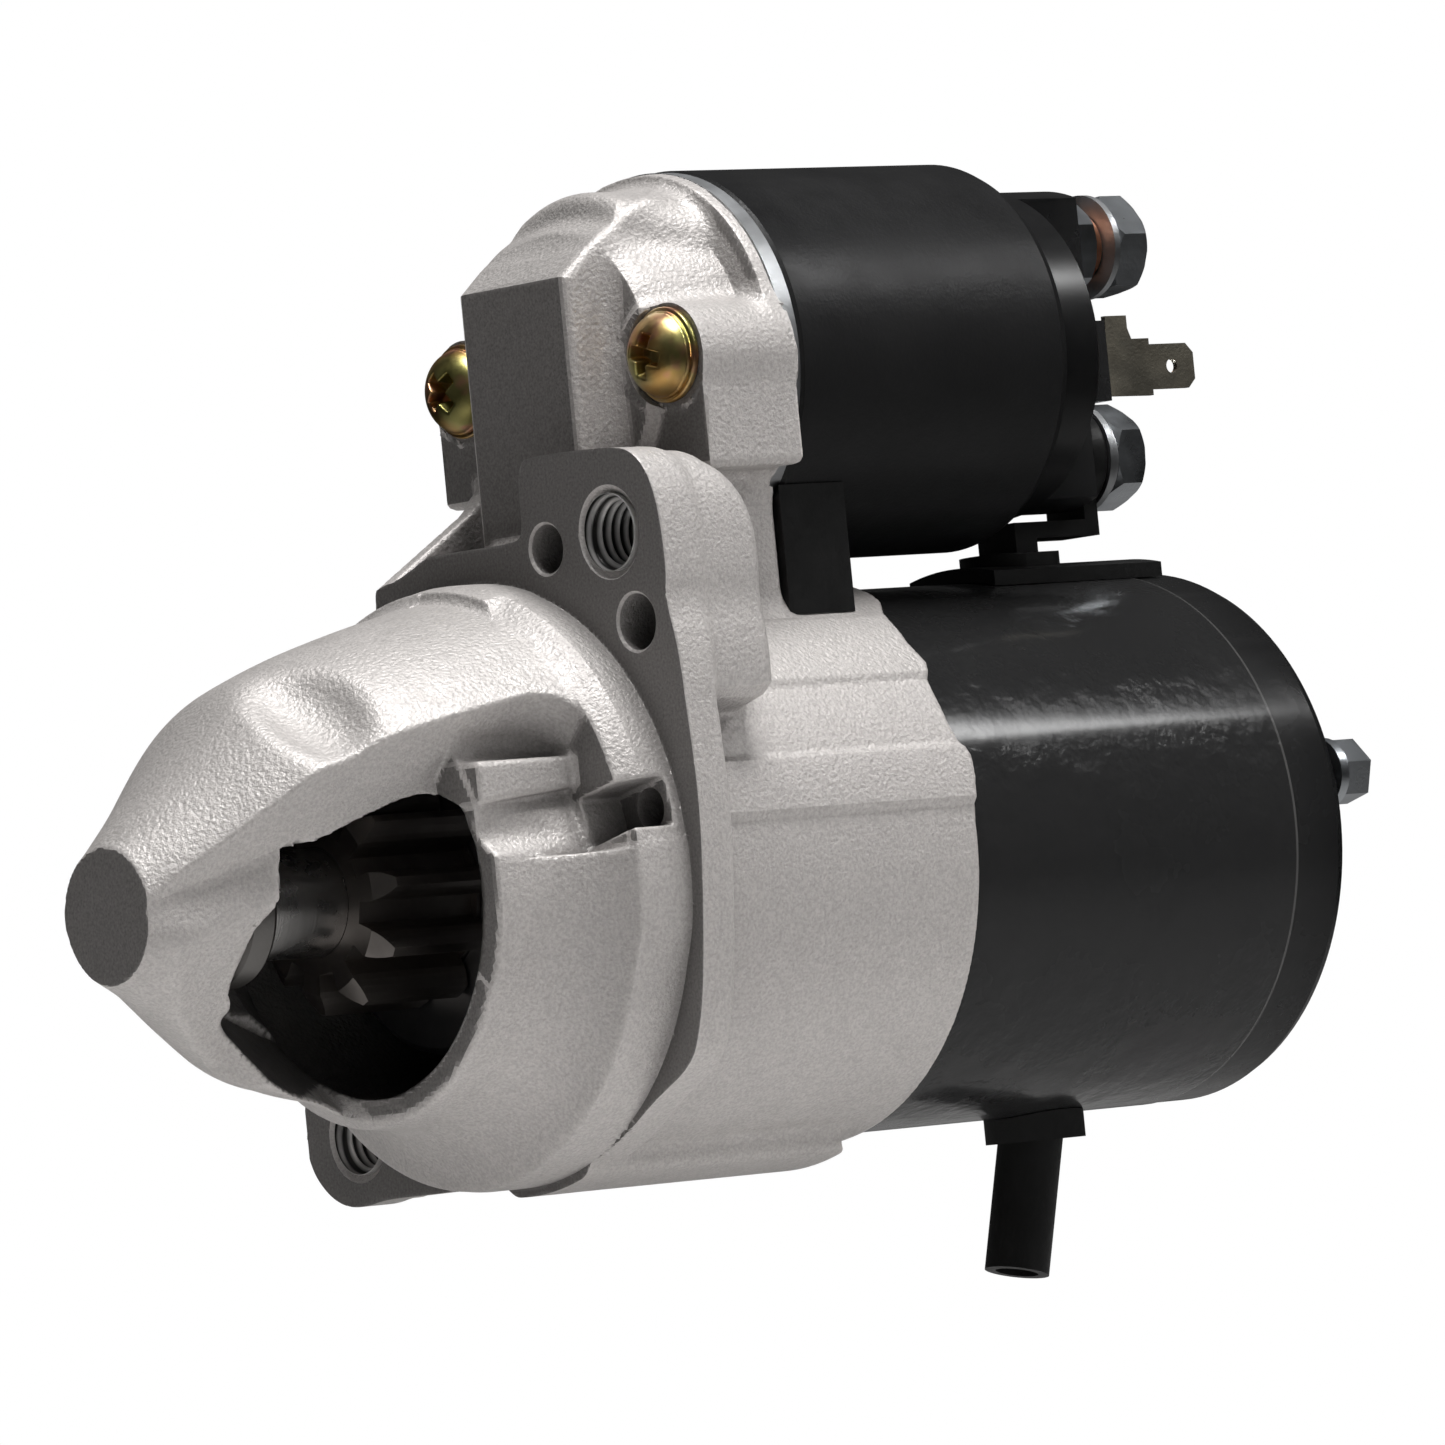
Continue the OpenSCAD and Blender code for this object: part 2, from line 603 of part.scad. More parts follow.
module armature_windings() color(winding_copper) {
  lathe([[56, 9], [55, 12], [55, 22], [57, 25], [core_x0 - 0.1, 25.4], [core_x0 - 0.1, 9]]);
  slot_bars(core_x0 - 0.5, core_x1 + 0.5, 3.2, 15.3, 25.2);
  lathe([[core_x1 + 0.1, 9], [core_x1 + 0.1, 25.4], [99, 24.6], [100.3, 22], [100.3, 9]]);
}

module commutator() color(contact_copper) difference() {
  lathe([[100.4, core_bore_r], [100.4, 16.4], [101.6, 16.4], [101.6, commutator_r],
    [110.9, commutator_r], [110.9, core_bore_r]]);
  around(commutator_bars) box(99, 112, 13.2, 18, -0.35, 0.35);
}

module rear_bearing() color(zinc) {
  tube(115.6, 122.6, 11, 9.5);
  tube(115.6, 122.6, 6.7, 5);
  around(8) translate([119.1, 8.1, 0]) sphere(r = 1.35, $fn = 32);
}

module rear_cover() color(black) difference() {
  lathe([[yoke_x1, 0], [yoke_x1, yoke_r - 0.14], [cover_x1 - 2.2, yoke_r - 0.14],
    [cover_x1 - 0.9, yoke_r - 0.7], [cover_x1, yoke_r - 2.2], [cover_x1, 14.4],
    [cover_x1 + 2.7, 13.6], [cover_x1 + 3.2, 12.8], [cover_x1 + 3.2, 0]]);
  rod(yoke_x1 - 1, cover_x1 - 2, yoke_bore_r + 0.1);
  rod(115.4, 123.6, 11);
  at_bolts() rod(110, 130, 2.55);
  at_cover_screws() rod(110, 130, 2.2);
}

module brush_plate() color("#4a3a2a") difference() {
  union() {
    rod(112, 113.6, insert_r);
    at_poles() box(101.4, 112.5, 17.2, 34.2, -5, 5);
    at_cover_screws() rod(113, cover_x1 - 2.1, 4);
  }
  rod(99, 116, 11.2);
  at_poles() box(102.2, 110.8, 10, 33, -3.8, 3.8);
  at_bolts() rod(110, 130, 2.9);
  at_cover_screws() rod(110, 130, 1.7);
}

module brushes() color("#3b2f28") at_poles() difference() {
  box(102.4, 110.6, 14.3, 27.4, -3.6, 3.6);
  rod(100, 112, commutator_r + 0.06);
}

module brush_springs() color(steel) at_poles()
  translate([106.5, 0, 0]) rotate([0, 0, 90])
  spring(27.5, 32.9, coil_r = 2.5, wire_r = 0.45, turns = 3, steps = 12, sides = 5);

module brush_plate_screws() color(zinc) at_cover_screws() difference() {
  union() {
    rod(114, cover_x1 + 0.1, 1.68);
    lathe([[cover_x1 + 0.03, 0], [cover_x1 + 0.03, 3.6], [cover_x1 + 1.1, 3.4],
      [cover_x1 + 2.1, 2.4], [cover_x1 + 2.4, 1.2], [cover_x1 + 2.4, 0]]);
  }
  cross_slot(cover_x1 + 1, cover_x1 + 4, 1.9, 0.45);
}

module through_bolts() color(zinc) at_bolts() {
  rod(24, cover_x1 + 2, 2.46);
  rod(cover_x1 + 0.05, cover_x1 + 1.5, 4.9);
  hex_rod(cover_x1 + 1.4, cover_x1 + 6.2, 8, 15);
  cone(cover_x1 + 6.1, cover_x1 + 7, 3.7, 3);
}

module lead_grommet() color(black) difference() {
  union() {
    intersection() {
      tube(86, 117.3, 39.4, 37.4);
      box(80, 120, -9, 9, 30, 45);
    }
    post(lead_x, 35.2, 38.5, 5.2);
    intersection() {
      box(lead_x - 7, lead_x + 7, -6.5, 6.5, 37.45, 41);
      post(lead_x, 36, 41, 7);
      rod(80, 120, 41.2);
    }
  }
  box(lead_x - 2.1, lead_x + 2.1, -4.1, 4.1, 30, 45);
}

// Flat strip that rises from the yoke, runs back and ends in an eye on the motor stud
module motor_lead() {
  half_width = 4;
  end_x0 = 108.3;
  end_x1 = 110.8;
  top_z = 45.2;
  color(black) {
    box(lead_x - 2, lead_x + 2, -half_width, half_width, 35.3, top_z);
    box(lead_x - 2, end_x1, -half_width, half_width, 42.9, top_z);
    difference() {
      union() {
        box(end_x0, end_x1, -half_width, half_width, 43, solenoid_z - stud_dz);
        at_stud(-1) rod(end_x0, end_x1, 7.2);
      }
      at_stud(-1) rod(100, 120, stud_r + 0.1);
    }
  }
}

module at_spout() translate([drain_x, 0, -36.9]) rotate([0, 15, 0]) children();
module drain_tube() color(black) difference() {
  union() {
    at_spout() post(0, -22.6, 0, 4.5, 64);
    post(drain_x, -40.8, -35, 7, 64);
    post(drain_x, -40, -35.3, 3.5);
  }
  at_spout() post(0, -24, -1, 3);
  // clear the yoke, except for the neck in its hole
  intersection() {
    rod(80, 100, yoke_r + 0.1);
    difference() {
      box(82, 100, -9, 9, -45, -30);
      post(drain_x, -50, -20, 3.5);
    }
  }
}

// ---- Solenoid -------------------------------------------------------------------
module solenoid_case() color(black) at_solenoid() lathe([[39.4, can_bore_r],
  [39.4, 26.6], [40, can_r], [can_x1 - 1.6, can_r], [can_x1 - 0.4, can_r - 0.5],
  [can_x1, can_r - 1.6], [can_x1, cap_r + 0.1], [can_x1 - 1.2, cap_r + 0.1],
  [can_x1 - 1.2, can_bore_r]]);

module solenoid_front_plate() color(zinc) difference() {
  at_solenoid() {
    rod(36.9, 39.35, 26.8);
    rod(39, 43, plug_r);
  }
  at_solenoid() rod(30, 50, 10.5);
  at_solenoid_screws() rod(30, 50, 2.92);
}

module solenoid_coil() color(winding_copper) at_solenoid() tube(44.6, 75.4, 23.6, 11.6);

module coil_bobbin() color("#d8d2c0") at_solenoid() lathe([[43.1, 10.05], [43.1, 24.4],
  [44.5, 24.4], [44.5, 11.5], [75.5, 11.5], [75.5, 24.4], [76.9, 24.4], [76.9, 10.05]]);

module fixed_core() color(steel) at_solenoid() difference() {
  union() {
    rod(66.2, 77, 10);
    rod(77, 82, plug_r);
  }
  rod(60, 90, 2.55);
}

module plunger() color(steel) at_solenoid() difference() {
  rod(27, 56, 9.95);
  rod(48, 60, 6.6);
  rod(20, 36, 4.02);
}

module plunger_hook() color(zinc) difference() {
  union() {
    box(hook_x - 4.3, hook_x + 5, -5, 5, solenoid_z - 6, solenoid_z + 6);
    at_solenoid() rod(hook_x + 4.9, 35.8, 4);
  }
  box(hook_x - 2.75, hook_x + 2.75, -2.8, 2.8, 50, 90);
}

module return_spring() color(spring_steel)
  at_solenoid() spring(48.2, 66, coil_r = 5.3, wire_r = 0.7, turns = 6);

module contact_rod() color(zinc) at_solenoid() {
  rod(55.4, 89.4, 2.45);
  rod(82.6, 83.8, 5);
}

module contact_disc() color(contact_copper) at_solenoid() tube(86.6, 88.3, 11.5, 2.5);

module contact_spring() color(spring_steel) at_solenoid()
  spring(83.9, 86.5, coil_r = 3.6, wire_r = 0.3, turns = 2, steps = 24);

module solenoid_cap() color("#171718") difference() {
  union() {
    at_solenoid() {
      rod(82.1, 86.9, plug_r);
      lathe([[86, 0], [86, cap_r], [96.8, cap_r], [98, cap_r - 1.2], [98, 0]]);
    }
    // blocks around the upper and lower studs
    intersection() {
      box(90, 108, -9, 9, solenoid_z + 6.6, 95);
      at_solenoid() rod(80, 110, cap_r - 0.1);
    }
    intersection() {
      box(90, 107.5, -8, 8, 40, solenoid_z - 7.4);
      at_solenoid() rod(80, 110, cap_r - 0.6);
    }
    // block around the spade terminal
    box(95, 101.5, -19.6, -14.6, 60.4, 71.6);
  }
  at_solenoid() rod(80, 93.9, 20.6);
  for (side = [-1, 1]) at_stud(side) rod(90, 120, stud_r + 0.02);
  box(94.5, 110, spade_y - 0.42, spade_y + 0.42, 61.2, 70.6);
}

module stud(x1) {
  rod(91.6, 93.85, 5.5);
  rod(93.8, x1 - 0.8, stud_r);
  cone(x1 - 0.8, x1, stud_r, 3.2);
}
module battery_stud() color(stud_copper) at_stud(1) stud(123.4);
module motor_stud() color(stud_copper) at_stud(-1) stud(120.4);

// Hexagon nut with chamfered corners
module nut(x0, x1, turn) difference() {
  intersection() {
    hex_rod(x0, x1, 13, turn);
    lathe([[x0, 0], [x0, 6.6], [x0 + 0.9, 7.6], [x1 - 0.9, 7.6], [x1, 6.6], [x1, 0]]);
  }
  rod(x0 - 1, x1 + 1, nut_bore_r);
}
module terminal_nuts() color(zinc) {
  at_stud(1) nut(108.6, 113.3, 10);
  at_stud(1) nut(117.2, 122.8, 22);
  at_stud(-1) nut(113.6, 118.6, 4);
}

module terminal_washers() color(zinc) {
  at_stud(1) tube(116, 117, 7.4, nut_bore_r);
  at_stud(-1) tube(111, 112.1, 7.7, nut_bore_r);
  at_stud(-1) tube(112.3, 113.4, 6.7, nut_bore_r);
}

module terminal_sleeve() color(stud_copper) at_stud(1) tube(113.5, 115.8, 4.8, nut_bore_r);

module spade_terminal() color("#a39a86") at(spade_y, 0) difference() {
  prism_y(0.8, [[94.8, 61.3], [111.4, 61.1], [111.4, 61.95], [118.2, 61.95],
    [119.5, 63.2], [119.5, 66.9], [118.2, 68.25], [111.4, 68.25], [111.4, 69.1],
    [108.2, 69.1], [107.6, 70.6], [107.6, 72.4], [103.6, 72.4], [103.6, 70.5],
    [94.8, 70.5]]);
  translate([115.3, 0, 65.1]) rod_y(4, 1, 32);
}

module solenoid_screws() color("#c9a24a") at_solenoid_screws() difference() {
  union() {
    rod(20.3, 39.2, 2.9);
    lathe([[20.45, 0], [20.45, 6.3], [19.5, 6.3], [18.9, 5.6], [17.6, 5.2], [16.2, 4.1],
      [15.5, 2.6], [15.3, 1], [15.3, 0]]);
  }
  cross_slot(14, 17.9, 3, 0.65);
}

function shown(name) = node == "all" || node == name;

if (shown("drive_housing")) drive_housing();
if (shown("front_bush")) front_bush();
if (shown("lever_pivot_pin")) lever_pivot_pin();
if (shown("lever_seal")) lever_seal();
if (shown("shift_lever")) shift_lever();
if (shown("output_shaft")) output_shaft();
if (shown("planet_pins")) planet_pins();
if (shown("planet_gear_a")) planet_gear_a();
if (shown("planet_gear_b")) planet_gear_b();
if (shown("planet_gear_c")) planet_gear_c();
if (shown("pilot_bush")) pilot_bush();
if (shown("stop_collar")) stop_collar();
if (shown("stop_ring")) stop_ring();
if (shown("pinion_gear")) pinion_gear();
if (shown("clutch_housing")) clutch_housing();
if (shown("clutch_cover")) clutch_cover();
if (shown("clutch_rollers")) clutch_rollers();
if (shown("drive_sleeve")) drive_sleeve();
if (shown("meshing_spring")) meshing_spring();
if (shown("shift_collar")) shift_collar();
if (shown("collar_ring")) collar_ring();
if (shown("centre_bracket")) centre_bracket();
if (shown("centre_bush")) centre_bush();
if (shown("ring_gear")) ring_gear();
if (shown("armature_plate")) armature_plate();
if (shown("yoke_tube")) yoke_tube();
if (shown("magnets")) magnets();
if (shown("armature_shaft")) armature_shaft();
if (shown("armature_core")) armature_core();
if (shown("armature_windings")) armature_windings();
if (shown("commutator")) commutator();
if (shown("rear_bearing")) rear_bearing();
if (shown("rear_cover")) rear_cover();
if (shown("brush_plate")) brush_plate();
if (shown("brushes")) brushes();
if (shown("brush_springs")) brush_springs();
if (shown("brush_plate_screws")) brush_plate_screws();
if (shown("through_bolts")) through_bolts();
if (shown("lead_grommet")) lead_grommet();
if (shown("motor_lead")) motor_lead();
if (shown("drain_tube")) drain_tube();
if (shown("solenoid_case")) solenoid_case();
if (shown("solenoid_front_plate")) solenoid_front_plate();
if (shown("solenoid_coil")) solenoid_coil();
if (shown("coil_bobbin")) coil_bobbin();
if (shown("fixed_core")) fixed_core();
if (shown("plunger")) plunger();
if (shown("plunger_hook")) plunger_hook();
if (shown("return_spring")) return_spring();
if (shown("contact_rod")) contact_rod();
if (shown("contact_disc")) contact_disc();
if (shown("contact_spring")) contact_spring();
if (shown("solenoid_cap")) solenoid_cap();
if (shown("battery_stud")) battery_stud();
if (shown("motor_stud")) motor_stud();
if (shown("terminal_nuts")) terminal_nuts();
if (shown("terminal_washers")) terminal_washers();
if (shown("terminal_sleeve")) terminal_sleeve();
if (shown("spade_terminal")) spade_terminal();
if (shown("solenoid_screws")) solenoid_screws();
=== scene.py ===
# A starter motor. The shaft lies along x, with the nose at -x and the yoke at +x, and the
# solenoid lies parallel to it, above at +z. The plane x = 0 is the flange's mounting face.
# The script meshes the drive end housing, two screws and two threads, and dresses every part.
# Shapes are worked out in millimetres and scaled to metres when a mesh is made. Angles about
# the shaft run from +y towards +z.
import math

import bpy
import numpy as np
from mathutils import Matrix, Vector
from numpy import clip, hypot, interp, maximum, minimum, where


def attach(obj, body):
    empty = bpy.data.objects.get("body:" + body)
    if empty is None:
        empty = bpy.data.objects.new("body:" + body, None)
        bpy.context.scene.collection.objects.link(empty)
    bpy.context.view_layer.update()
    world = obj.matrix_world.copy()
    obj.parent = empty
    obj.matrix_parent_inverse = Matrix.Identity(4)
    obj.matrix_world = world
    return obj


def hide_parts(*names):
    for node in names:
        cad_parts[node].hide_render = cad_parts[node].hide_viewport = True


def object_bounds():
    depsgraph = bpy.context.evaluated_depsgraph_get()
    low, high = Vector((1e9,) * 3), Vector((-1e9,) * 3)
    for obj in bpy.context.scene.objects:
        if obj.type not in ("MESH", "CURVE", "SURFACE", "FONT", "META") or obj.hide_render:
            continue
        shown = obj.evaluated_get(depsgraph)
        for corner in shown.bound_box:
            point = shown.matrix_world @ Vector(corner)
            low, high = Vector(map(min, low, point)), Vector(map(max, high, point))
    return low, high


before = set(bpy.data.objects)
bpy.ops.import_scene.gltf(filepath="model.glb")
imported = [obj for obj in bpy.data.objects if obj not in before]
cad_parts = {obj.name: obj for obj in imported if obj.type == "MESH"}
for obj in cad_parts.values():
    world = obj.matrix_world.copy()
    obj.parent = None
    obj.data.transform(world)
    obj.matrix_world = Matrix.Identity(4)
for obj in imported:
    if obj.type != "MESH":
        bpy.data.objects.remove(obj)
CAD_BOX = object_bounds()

MM = 0.001
scene = bpy.context.scene

# Driving dimensions, mm
SOLENOID_Z = 68.9           # height of the solenoid's axis
CAN_RADIUS = 27.06          # solenoid case
YOKE_RADIUS = 37.3
NOSE_TIP = -65.3
RING_X, RING_RADIUS = -8.2, 40.5    # shoulder and radius of the locating ring
TOWER_X = 36.8              # tower face that the solenoid sits on
SCREW_Y, SEAT_X = 22.0, 20.5        # solenoid screws: offset from the middle, seat
UPPER_MOUNT = (-30.7, 44.9)         # y, z of the threaded mounting holes
LOWER_MOUNT = (35.4, -31.3)
MOUNT_MOUTH = 6.3           # radius of their countersinks at x = 0
UNDER = math.radians(221)   # towards the window in the nose
ACROSS = math.radians(131)  # square to UNDER
GROOVE = math.radians(166.5)
NOTCH = 167.6               # degrees


# ---- Signed distance helpers: negative inside ----
def join(first, second, blend):
    """Union with a fillet."""
    near = maximum(blend - np.abs(first - second), 0.0) / blend
    return minimum(first, second) - near * near * (blend * 0.25)


def meet(first, second, blend):
    """Intersection with a rounded edge."""
    return -join(-first, -second, blend)


def carve(solid, cutter, blend=0.0):
    return meet(solid, -cutter, blend) if blend else maximum(solid, -cutter)


def between(value, start, end):
    return maximum(start - value, value - end)


def along(y, z, angle):
    """How far (y, z) lies in the direction angle; along(z, -y, angle) is the offset beside it."""
    return math.cos(angle) * y + math.sin(angle) * z


def arc(radius, angle, middle):
    """Arc length from the angle middle, both in degrees."""
    return np.abs(angle - middle) * radius * 0.01745


def polar(radius, degrees):
    return radius * math.cos(math.radians(degrees)), radius * math.sin(math.radians(degrees))


def rod(x, y, z, start, end, radius, mid_y=0.0, mid_z=0.0, edge=0.0):
    """Cylinder along x."""
    side = hypot(y - mid_y, z - mid_z) - radius + edge
    cap = between(x, start, end) + edge
    if edge:
        return (minimum(maximum(side, cap), 0)
                + hypot(maximum(side, 0), maximum(cap, 0)) - edge)
    return maximum(side, cap)


def box(x, y, z, x_span, y_span, z_span, edge=0.0):
    gaps = [between(value, *span) + edge
            for value, span in ((x, x_span), (y, y_span), (z, z_span))]
    inside = maximum(maximum(gaps[0], gaps[1]), gaps[2])
    if edge:
        squares = [maximum(gap, 0) ** 2 for gap in gaps]
        return minimum(inside, 0) + np.sqrt(squares[0] + squares[1] + squares[2]) - edge
    return inside


def chaikin(points, rounds=2, closed=True):
    """Round an outline by cutting its corners."""
    points = np.array(points, float)
    for _ in range(rounds):
        ahead = np.roll(points, -1, 0) if closed else points[1:]
        here = points if closed else points[:-1]
        cut = np.empty((2 * len(here), 2))
        cut[0::2] = 0.75 * here + 0.25 * ahead
        cut[1::2] = 0.25 * here + 0.75 * ahead
        points = cut if closed else np.vstack([points[:1], cut, points[-1:]])
    return points


class Outline:
    """Signed distance to a closed outline, read from a fine grid."""
    STEP, PAD = 0.2, 6.0

    def __init__(self, points, mirror=False):
        points = np.array(points, float)
        if mirror:
            points = np.vstack([points, (points * [1, -1])[::-1]])
        self.low = points.min(0) - self.PAD
        self.count = np.ceil((points.max(0) + self.PAD - self.low) / self.STEP).astype(int) + 2
        axes = [self.low[i] + np.arange(self.count[i]) * self.STEP for i in range(2)]
        across, up = np.meshgrid(*axes, indexing="ij")
        squared = np.full(across.shape, 1e9)
        inside = np.zeros(across.shape, bool)
        for start, end in zip(points, np.roll(points, -1, 0)):
            edge = end - start
            length2 = float(edge @ edge)
            if length2 < 1e-12:
                continue
            off_u, off_v = across - start[0], up - start[1]
            part = clip((off_u * edge[0] + off_v * edge[1]) / length2, 0, 1)
            squared = minimum(
                squared, (off_u - part * edge[0]) ** 2 + (off_v - part * edge[1]) ** 2)
            spans = (start[1] <= up) != (end[1] <= up)
            if spans.any():
                hit = start[0] + (up - start[1]) / (edge[1] if edge[1] else 1e-9) * edge[0]
                inside ^= spans & (across < hit)
        self.grid = (where(inside, -1.0, 1.0) * np.sqrt(squared)).ravel()

    def __call__(self, across, up):
        grid, row = self.grid, self.count[1]
        raw_u = (across - self.low[0]) / self.STEP
        raw_v = (up - self.low[1]) / self.STEP
        in_u = clip(raw_u, 0, self.count[0] - 1.001)
        in_v = clip(raw_v, 0, row - 1.001)
        cell_u, cell_v = in_u.astype(np.int32), in_v.astype(np.int32)
        part_u, part_v = in_u - cell_u, in_v - cell_v
        k = cell_u * row + cell_v
        distance = ((grid[k] * (1 - part_u) + grid[k + row] * part_u) * (1 - part_v)
                    + (grid[k + 1] * (1 - part_u) + grid[k + row + 1] * part_u) * part_v)
        return distance + (np.abs(raw_u - in_u) + np.abs(raw_v - in_v)) * self.STEP


# ---- Dual contouring of a distance function ----
BLOCK = 8       # cells along the side of a coarse block
TETRAHEDRON = ((1, -1, -1), (-1, -1, 1), (-1, 1, -1), (1, 1, 1))


def gradient(field, points, reach=0.03):
    """Unit slope of the field, from four samples around each point."""
    x, y, z = points.T
    slope = sum(field(x + i * reach, y + j * reach, z + k * reach)[:, None] * (i, j, k)
                for i, j, k in TETRAHEDRON)
    return slope / maximum(np.linalg.norm(slope, axis=1, keepdims=True), 1e-9)


def sample(field, low, high, size):
    """The field on a grid, worked out only in the blocks that may hold surface."""
    blocks = np.ceil((high - low) / (size * BLOCK)).astype(int)
    middles = [low[i] + (np.arange(blocks[i]) + 0.5) * BLOCK * size for i in range(3)]
    coarse = field(*[q.ravel() for q in np.meshgrid(*middles, indexing="ij")]).reshape(blocks)
    near = np.abs(coarse) < BLOCK * size * 0.87 * 1.35 + 1.0
    grid = np.sign(coarse) * 50.0
    for axis in range(3):
        grid = np.repeat(grid, BLOCK, axis)
    grid = np.pad(grid.astype(np.float32), ((0, 1), (0, 1), (0, 1)), mode="edge")
    corners = np.argwhere(near)
    steps = np.arange(BLOCK + 1)
    steps = [q.ravel() for q in np.meshgrid(steps, steps, steps, indexing="ij")]
    for start in range(0, len(corners), 600):
        corner = corners[start:start + 600] * BLOCK
        index = tuple((corner[:, i:i + 1] + steps[i]).ravel() for i in range(3))
        grid[index] = field(*[low[i] + index[i] * size for i in range(3)])
    grid[grid == 0] = 1e-4
    return grid, blocks * BLOCK


def contour(field, low, high, size):
    """Vertices and quads of the field's zero surface, on cells of the given size."""
    low, high = np.array(low, float), np.array(high, float)
    grid, cells = sample(field, low, high, size)
    points, normals, quads = [], [], []
    for axis in range(3):
        lower, upper = [slice(None)] * 3, [slice(None)] * 3
        lower[axis], upper[axis] = slice(0, -1), slice(1, None)
        begin, finish = grid[tuple(lower)], grid[tuple(upper)]
        edges = np.argwhere((begin < 0) != (finish < 0))
        side1, side2 = (axis + 1) % 3, (axis + 2) % 3
        edges = edges[(edges[:, side1] > 0) & (edges[:, side2] > 0)
                      & (edges[:, side1] < cells[side1]) & (edges[:, side2] < cells[side2])]
        index = tuple(edges.T)
        first = begin[index].astype(float)
        origin = low + edges * size

        def point(part):
            place = origin.copy()
            place[:, axis] += part * size
            return place

        # Close in on the crossing from both ends of the edge.
        part_a, part_b = np.zeros(len(edges)), np.ones(len(edges))
        value_a, value_b = first.copy(), finish[index].astype(float)
        for _ in range(3):
            part = part_a + (part_b - part_a) * clip(
                value_a / (value_a - value_b + 1e-30), 0.02, 0.98)
            place = point(part)
            value = field(place[:, 0], place[:, 1], place[:, 2])
            same = (value < 0) == (value_a < 0)
            part_a, value_a = where(same, part, part_a), where(same, value, value_a)
            part_b, value_b = where(same, part_b, part), where(same, value_b, value)
        place = point(part_a + (part_b - part_a) * clip(
            value_a / (value_a - value_b + 1e-30), 0, 1))
        points.append(place)
        normals.append(gradient(field, place))
        quad = []
        for i, j in ((-1, -1), (0, -1), (0, 0), (-1, 0)):
            cell = edges.copy()
            cell[:, side1] += i
            cell[:, side2] += j
            quad.append((cell[:, 0] * cells[1] + cell[:, 1]) * cells[2] + cell[:, 2])
        quad = np.stack(quad, 1)
        flip = first > 0
        quad[flip] = quad[flip][:, ::-1]
        quads.append(quad)
    points, normals, quads = np.vstack(points), np.vstack(normals), np.vstack(quads)
    used, faces = np.unique(quads, return_inverse=True)
    faces = faces.reshape(quads.shape)
    total, flat = len(used), faces.ravel()

    # Each vertex goes where the tangent planes of its cell's crossings meet.
    hits = np.bincount(flat, minlength=total).astype(float)
    middle = np.stack([np.bincount(flat, np.repeat(points[:, i], 4), total)
                       for i in range(3)], 1) / hits[:, None]
    matrix, target = np.zeros((total, 3, 3)), np.zeros((total, 3))
    offset = np.repeat(points, 4, 0) - middle[flat]
    normals = np.repeat(normals, 4, 0)
    height = (offset * normals).sum(1)
    for i in range(3):
        target[:, i] = np.bincount(flat, normals[:, i] * height, total)
        for j in range(i, 3):
            matrix[:, i, j] = matrix[:, j, i] = np.bincount(
                flat, normals[:, i] * normals[:, j], total)
    matrix += np.eye(3) * 0.06
    verts = middle + np.linalg.solve(matrix, target[..., None])[..., 0]
    cell = np.stack([used // (cells[1] * cells[2]), (used // cells[2]) % cells[1],
                     used % cells[2]], 1)
    base = low + cell * size
    return clip(verts, base - 0.1 * size, base + 1.1 * size), faces


# ---- Mesh helpers ----
def mesh_object(name, verts_mm, faces, smooth=True, sharp=None):
    """Object from an array of equal-sided faces or a list of face tuples."""
    mesh = bpy.data.meshes.new(name)
    verts = np.asarray(verts_mm, float) * MM
    if isinstance(faces, np.ndarray):
        mesh.vertices.add(len(verts))
        mesh.vertices.foreach_set("co", verts.astype(np.float32).ravel())
        mesh.loops.add(faces.size)
        mesh.loops.foreach_set("vertex_index", faces.astype(np.int32).ravel())
        mesh.polygons.add(len(faces))
        mesh.polygons.foreach_set(
            "loop_start", np.arange(0, faces.size, faces.shape[1], dtype=np.int32))
        mesh.update(calc_edges=True)
    else:
        mesh.from_pydata([tuple(vert) for vert in verts], [], faces)
        mesh.update()
    mesh.validate()
    mesh.polygons.foreach_set("use_smooth", [smooth] * len(mesh.polygons))
    if sharp is not None and smooth:
        mesh.set_sharp_from_angle(angle=math.radians(sharp))
    ob = bpy.data.objects.new(name, mesh)
    scene.collection.objects.link(ob)
    return ob


def read_ints(items, key):
    values = np.empty(len(items), np.int32)
    items.foreach_get(key, values)
    return values


def read_vectors(items, key):
    values = np.empty(len(items) * 3, np.float32)
    items.foreach_get(key, values)
    return values.reshape(-1, 3).astype(float)


def thin(ob, ratio):
    """Decimate the mesh and shade it smooth again."""
    ob.modifiers.new("thin", "DECIMATE").ratio = ratio
    graph = bpy.context.evaluated_depsgraph_get()
    mesh = bpy.data.meshes.new_from_object(ob.evaluated_get(graph), depsgraph=graph)
    old = ob.data
    ob.modifiers.clear()
    ob.data = mesh
    bpy.data.meshes.remove(old)
    mesh.polygons.foreach_set("use_smooth", [True] * len(mesh.polygons))


def analytic_normals(ob, field):
    """Shading normals from the field, so that fillets shade smoothly and edges stay crisp."""
    mesh = ob.data
    corner = read_ints(mesh.loops, "vertex_index")
    place = (read_vectors(mesh.vertices, "co") / MM)[corner]
    count = len(mesh.polygons)
    sides = read_ints(mesh.polygons, "loop_total")
    face = np.repeat(np.arange(count), sides)
    centre = np.stack([np.bincount(face, place[:, i], count) for i in range(3)], 1)
    centre = centre / sides[:, None]
    flat = read_vectors(mesh.polygons, "normal")[face]
    inward = centre[face] - place
    length = np.linalg.norm(inward, axis=1, keepdims=True)
    # Sample a little inside the face, away from the edges.
    probe = place + inward * minimum(0.22, 0.35 / maximum(length, 1e-6))
    normal = gradient(field, probe, 0.05)
    bad = (normal * flat).sum(1) < math.cos(math.radians(60))
    normal[bad] = flat[bad]
    mesh.normals_split_custom_set(normal.astype(np.float32))


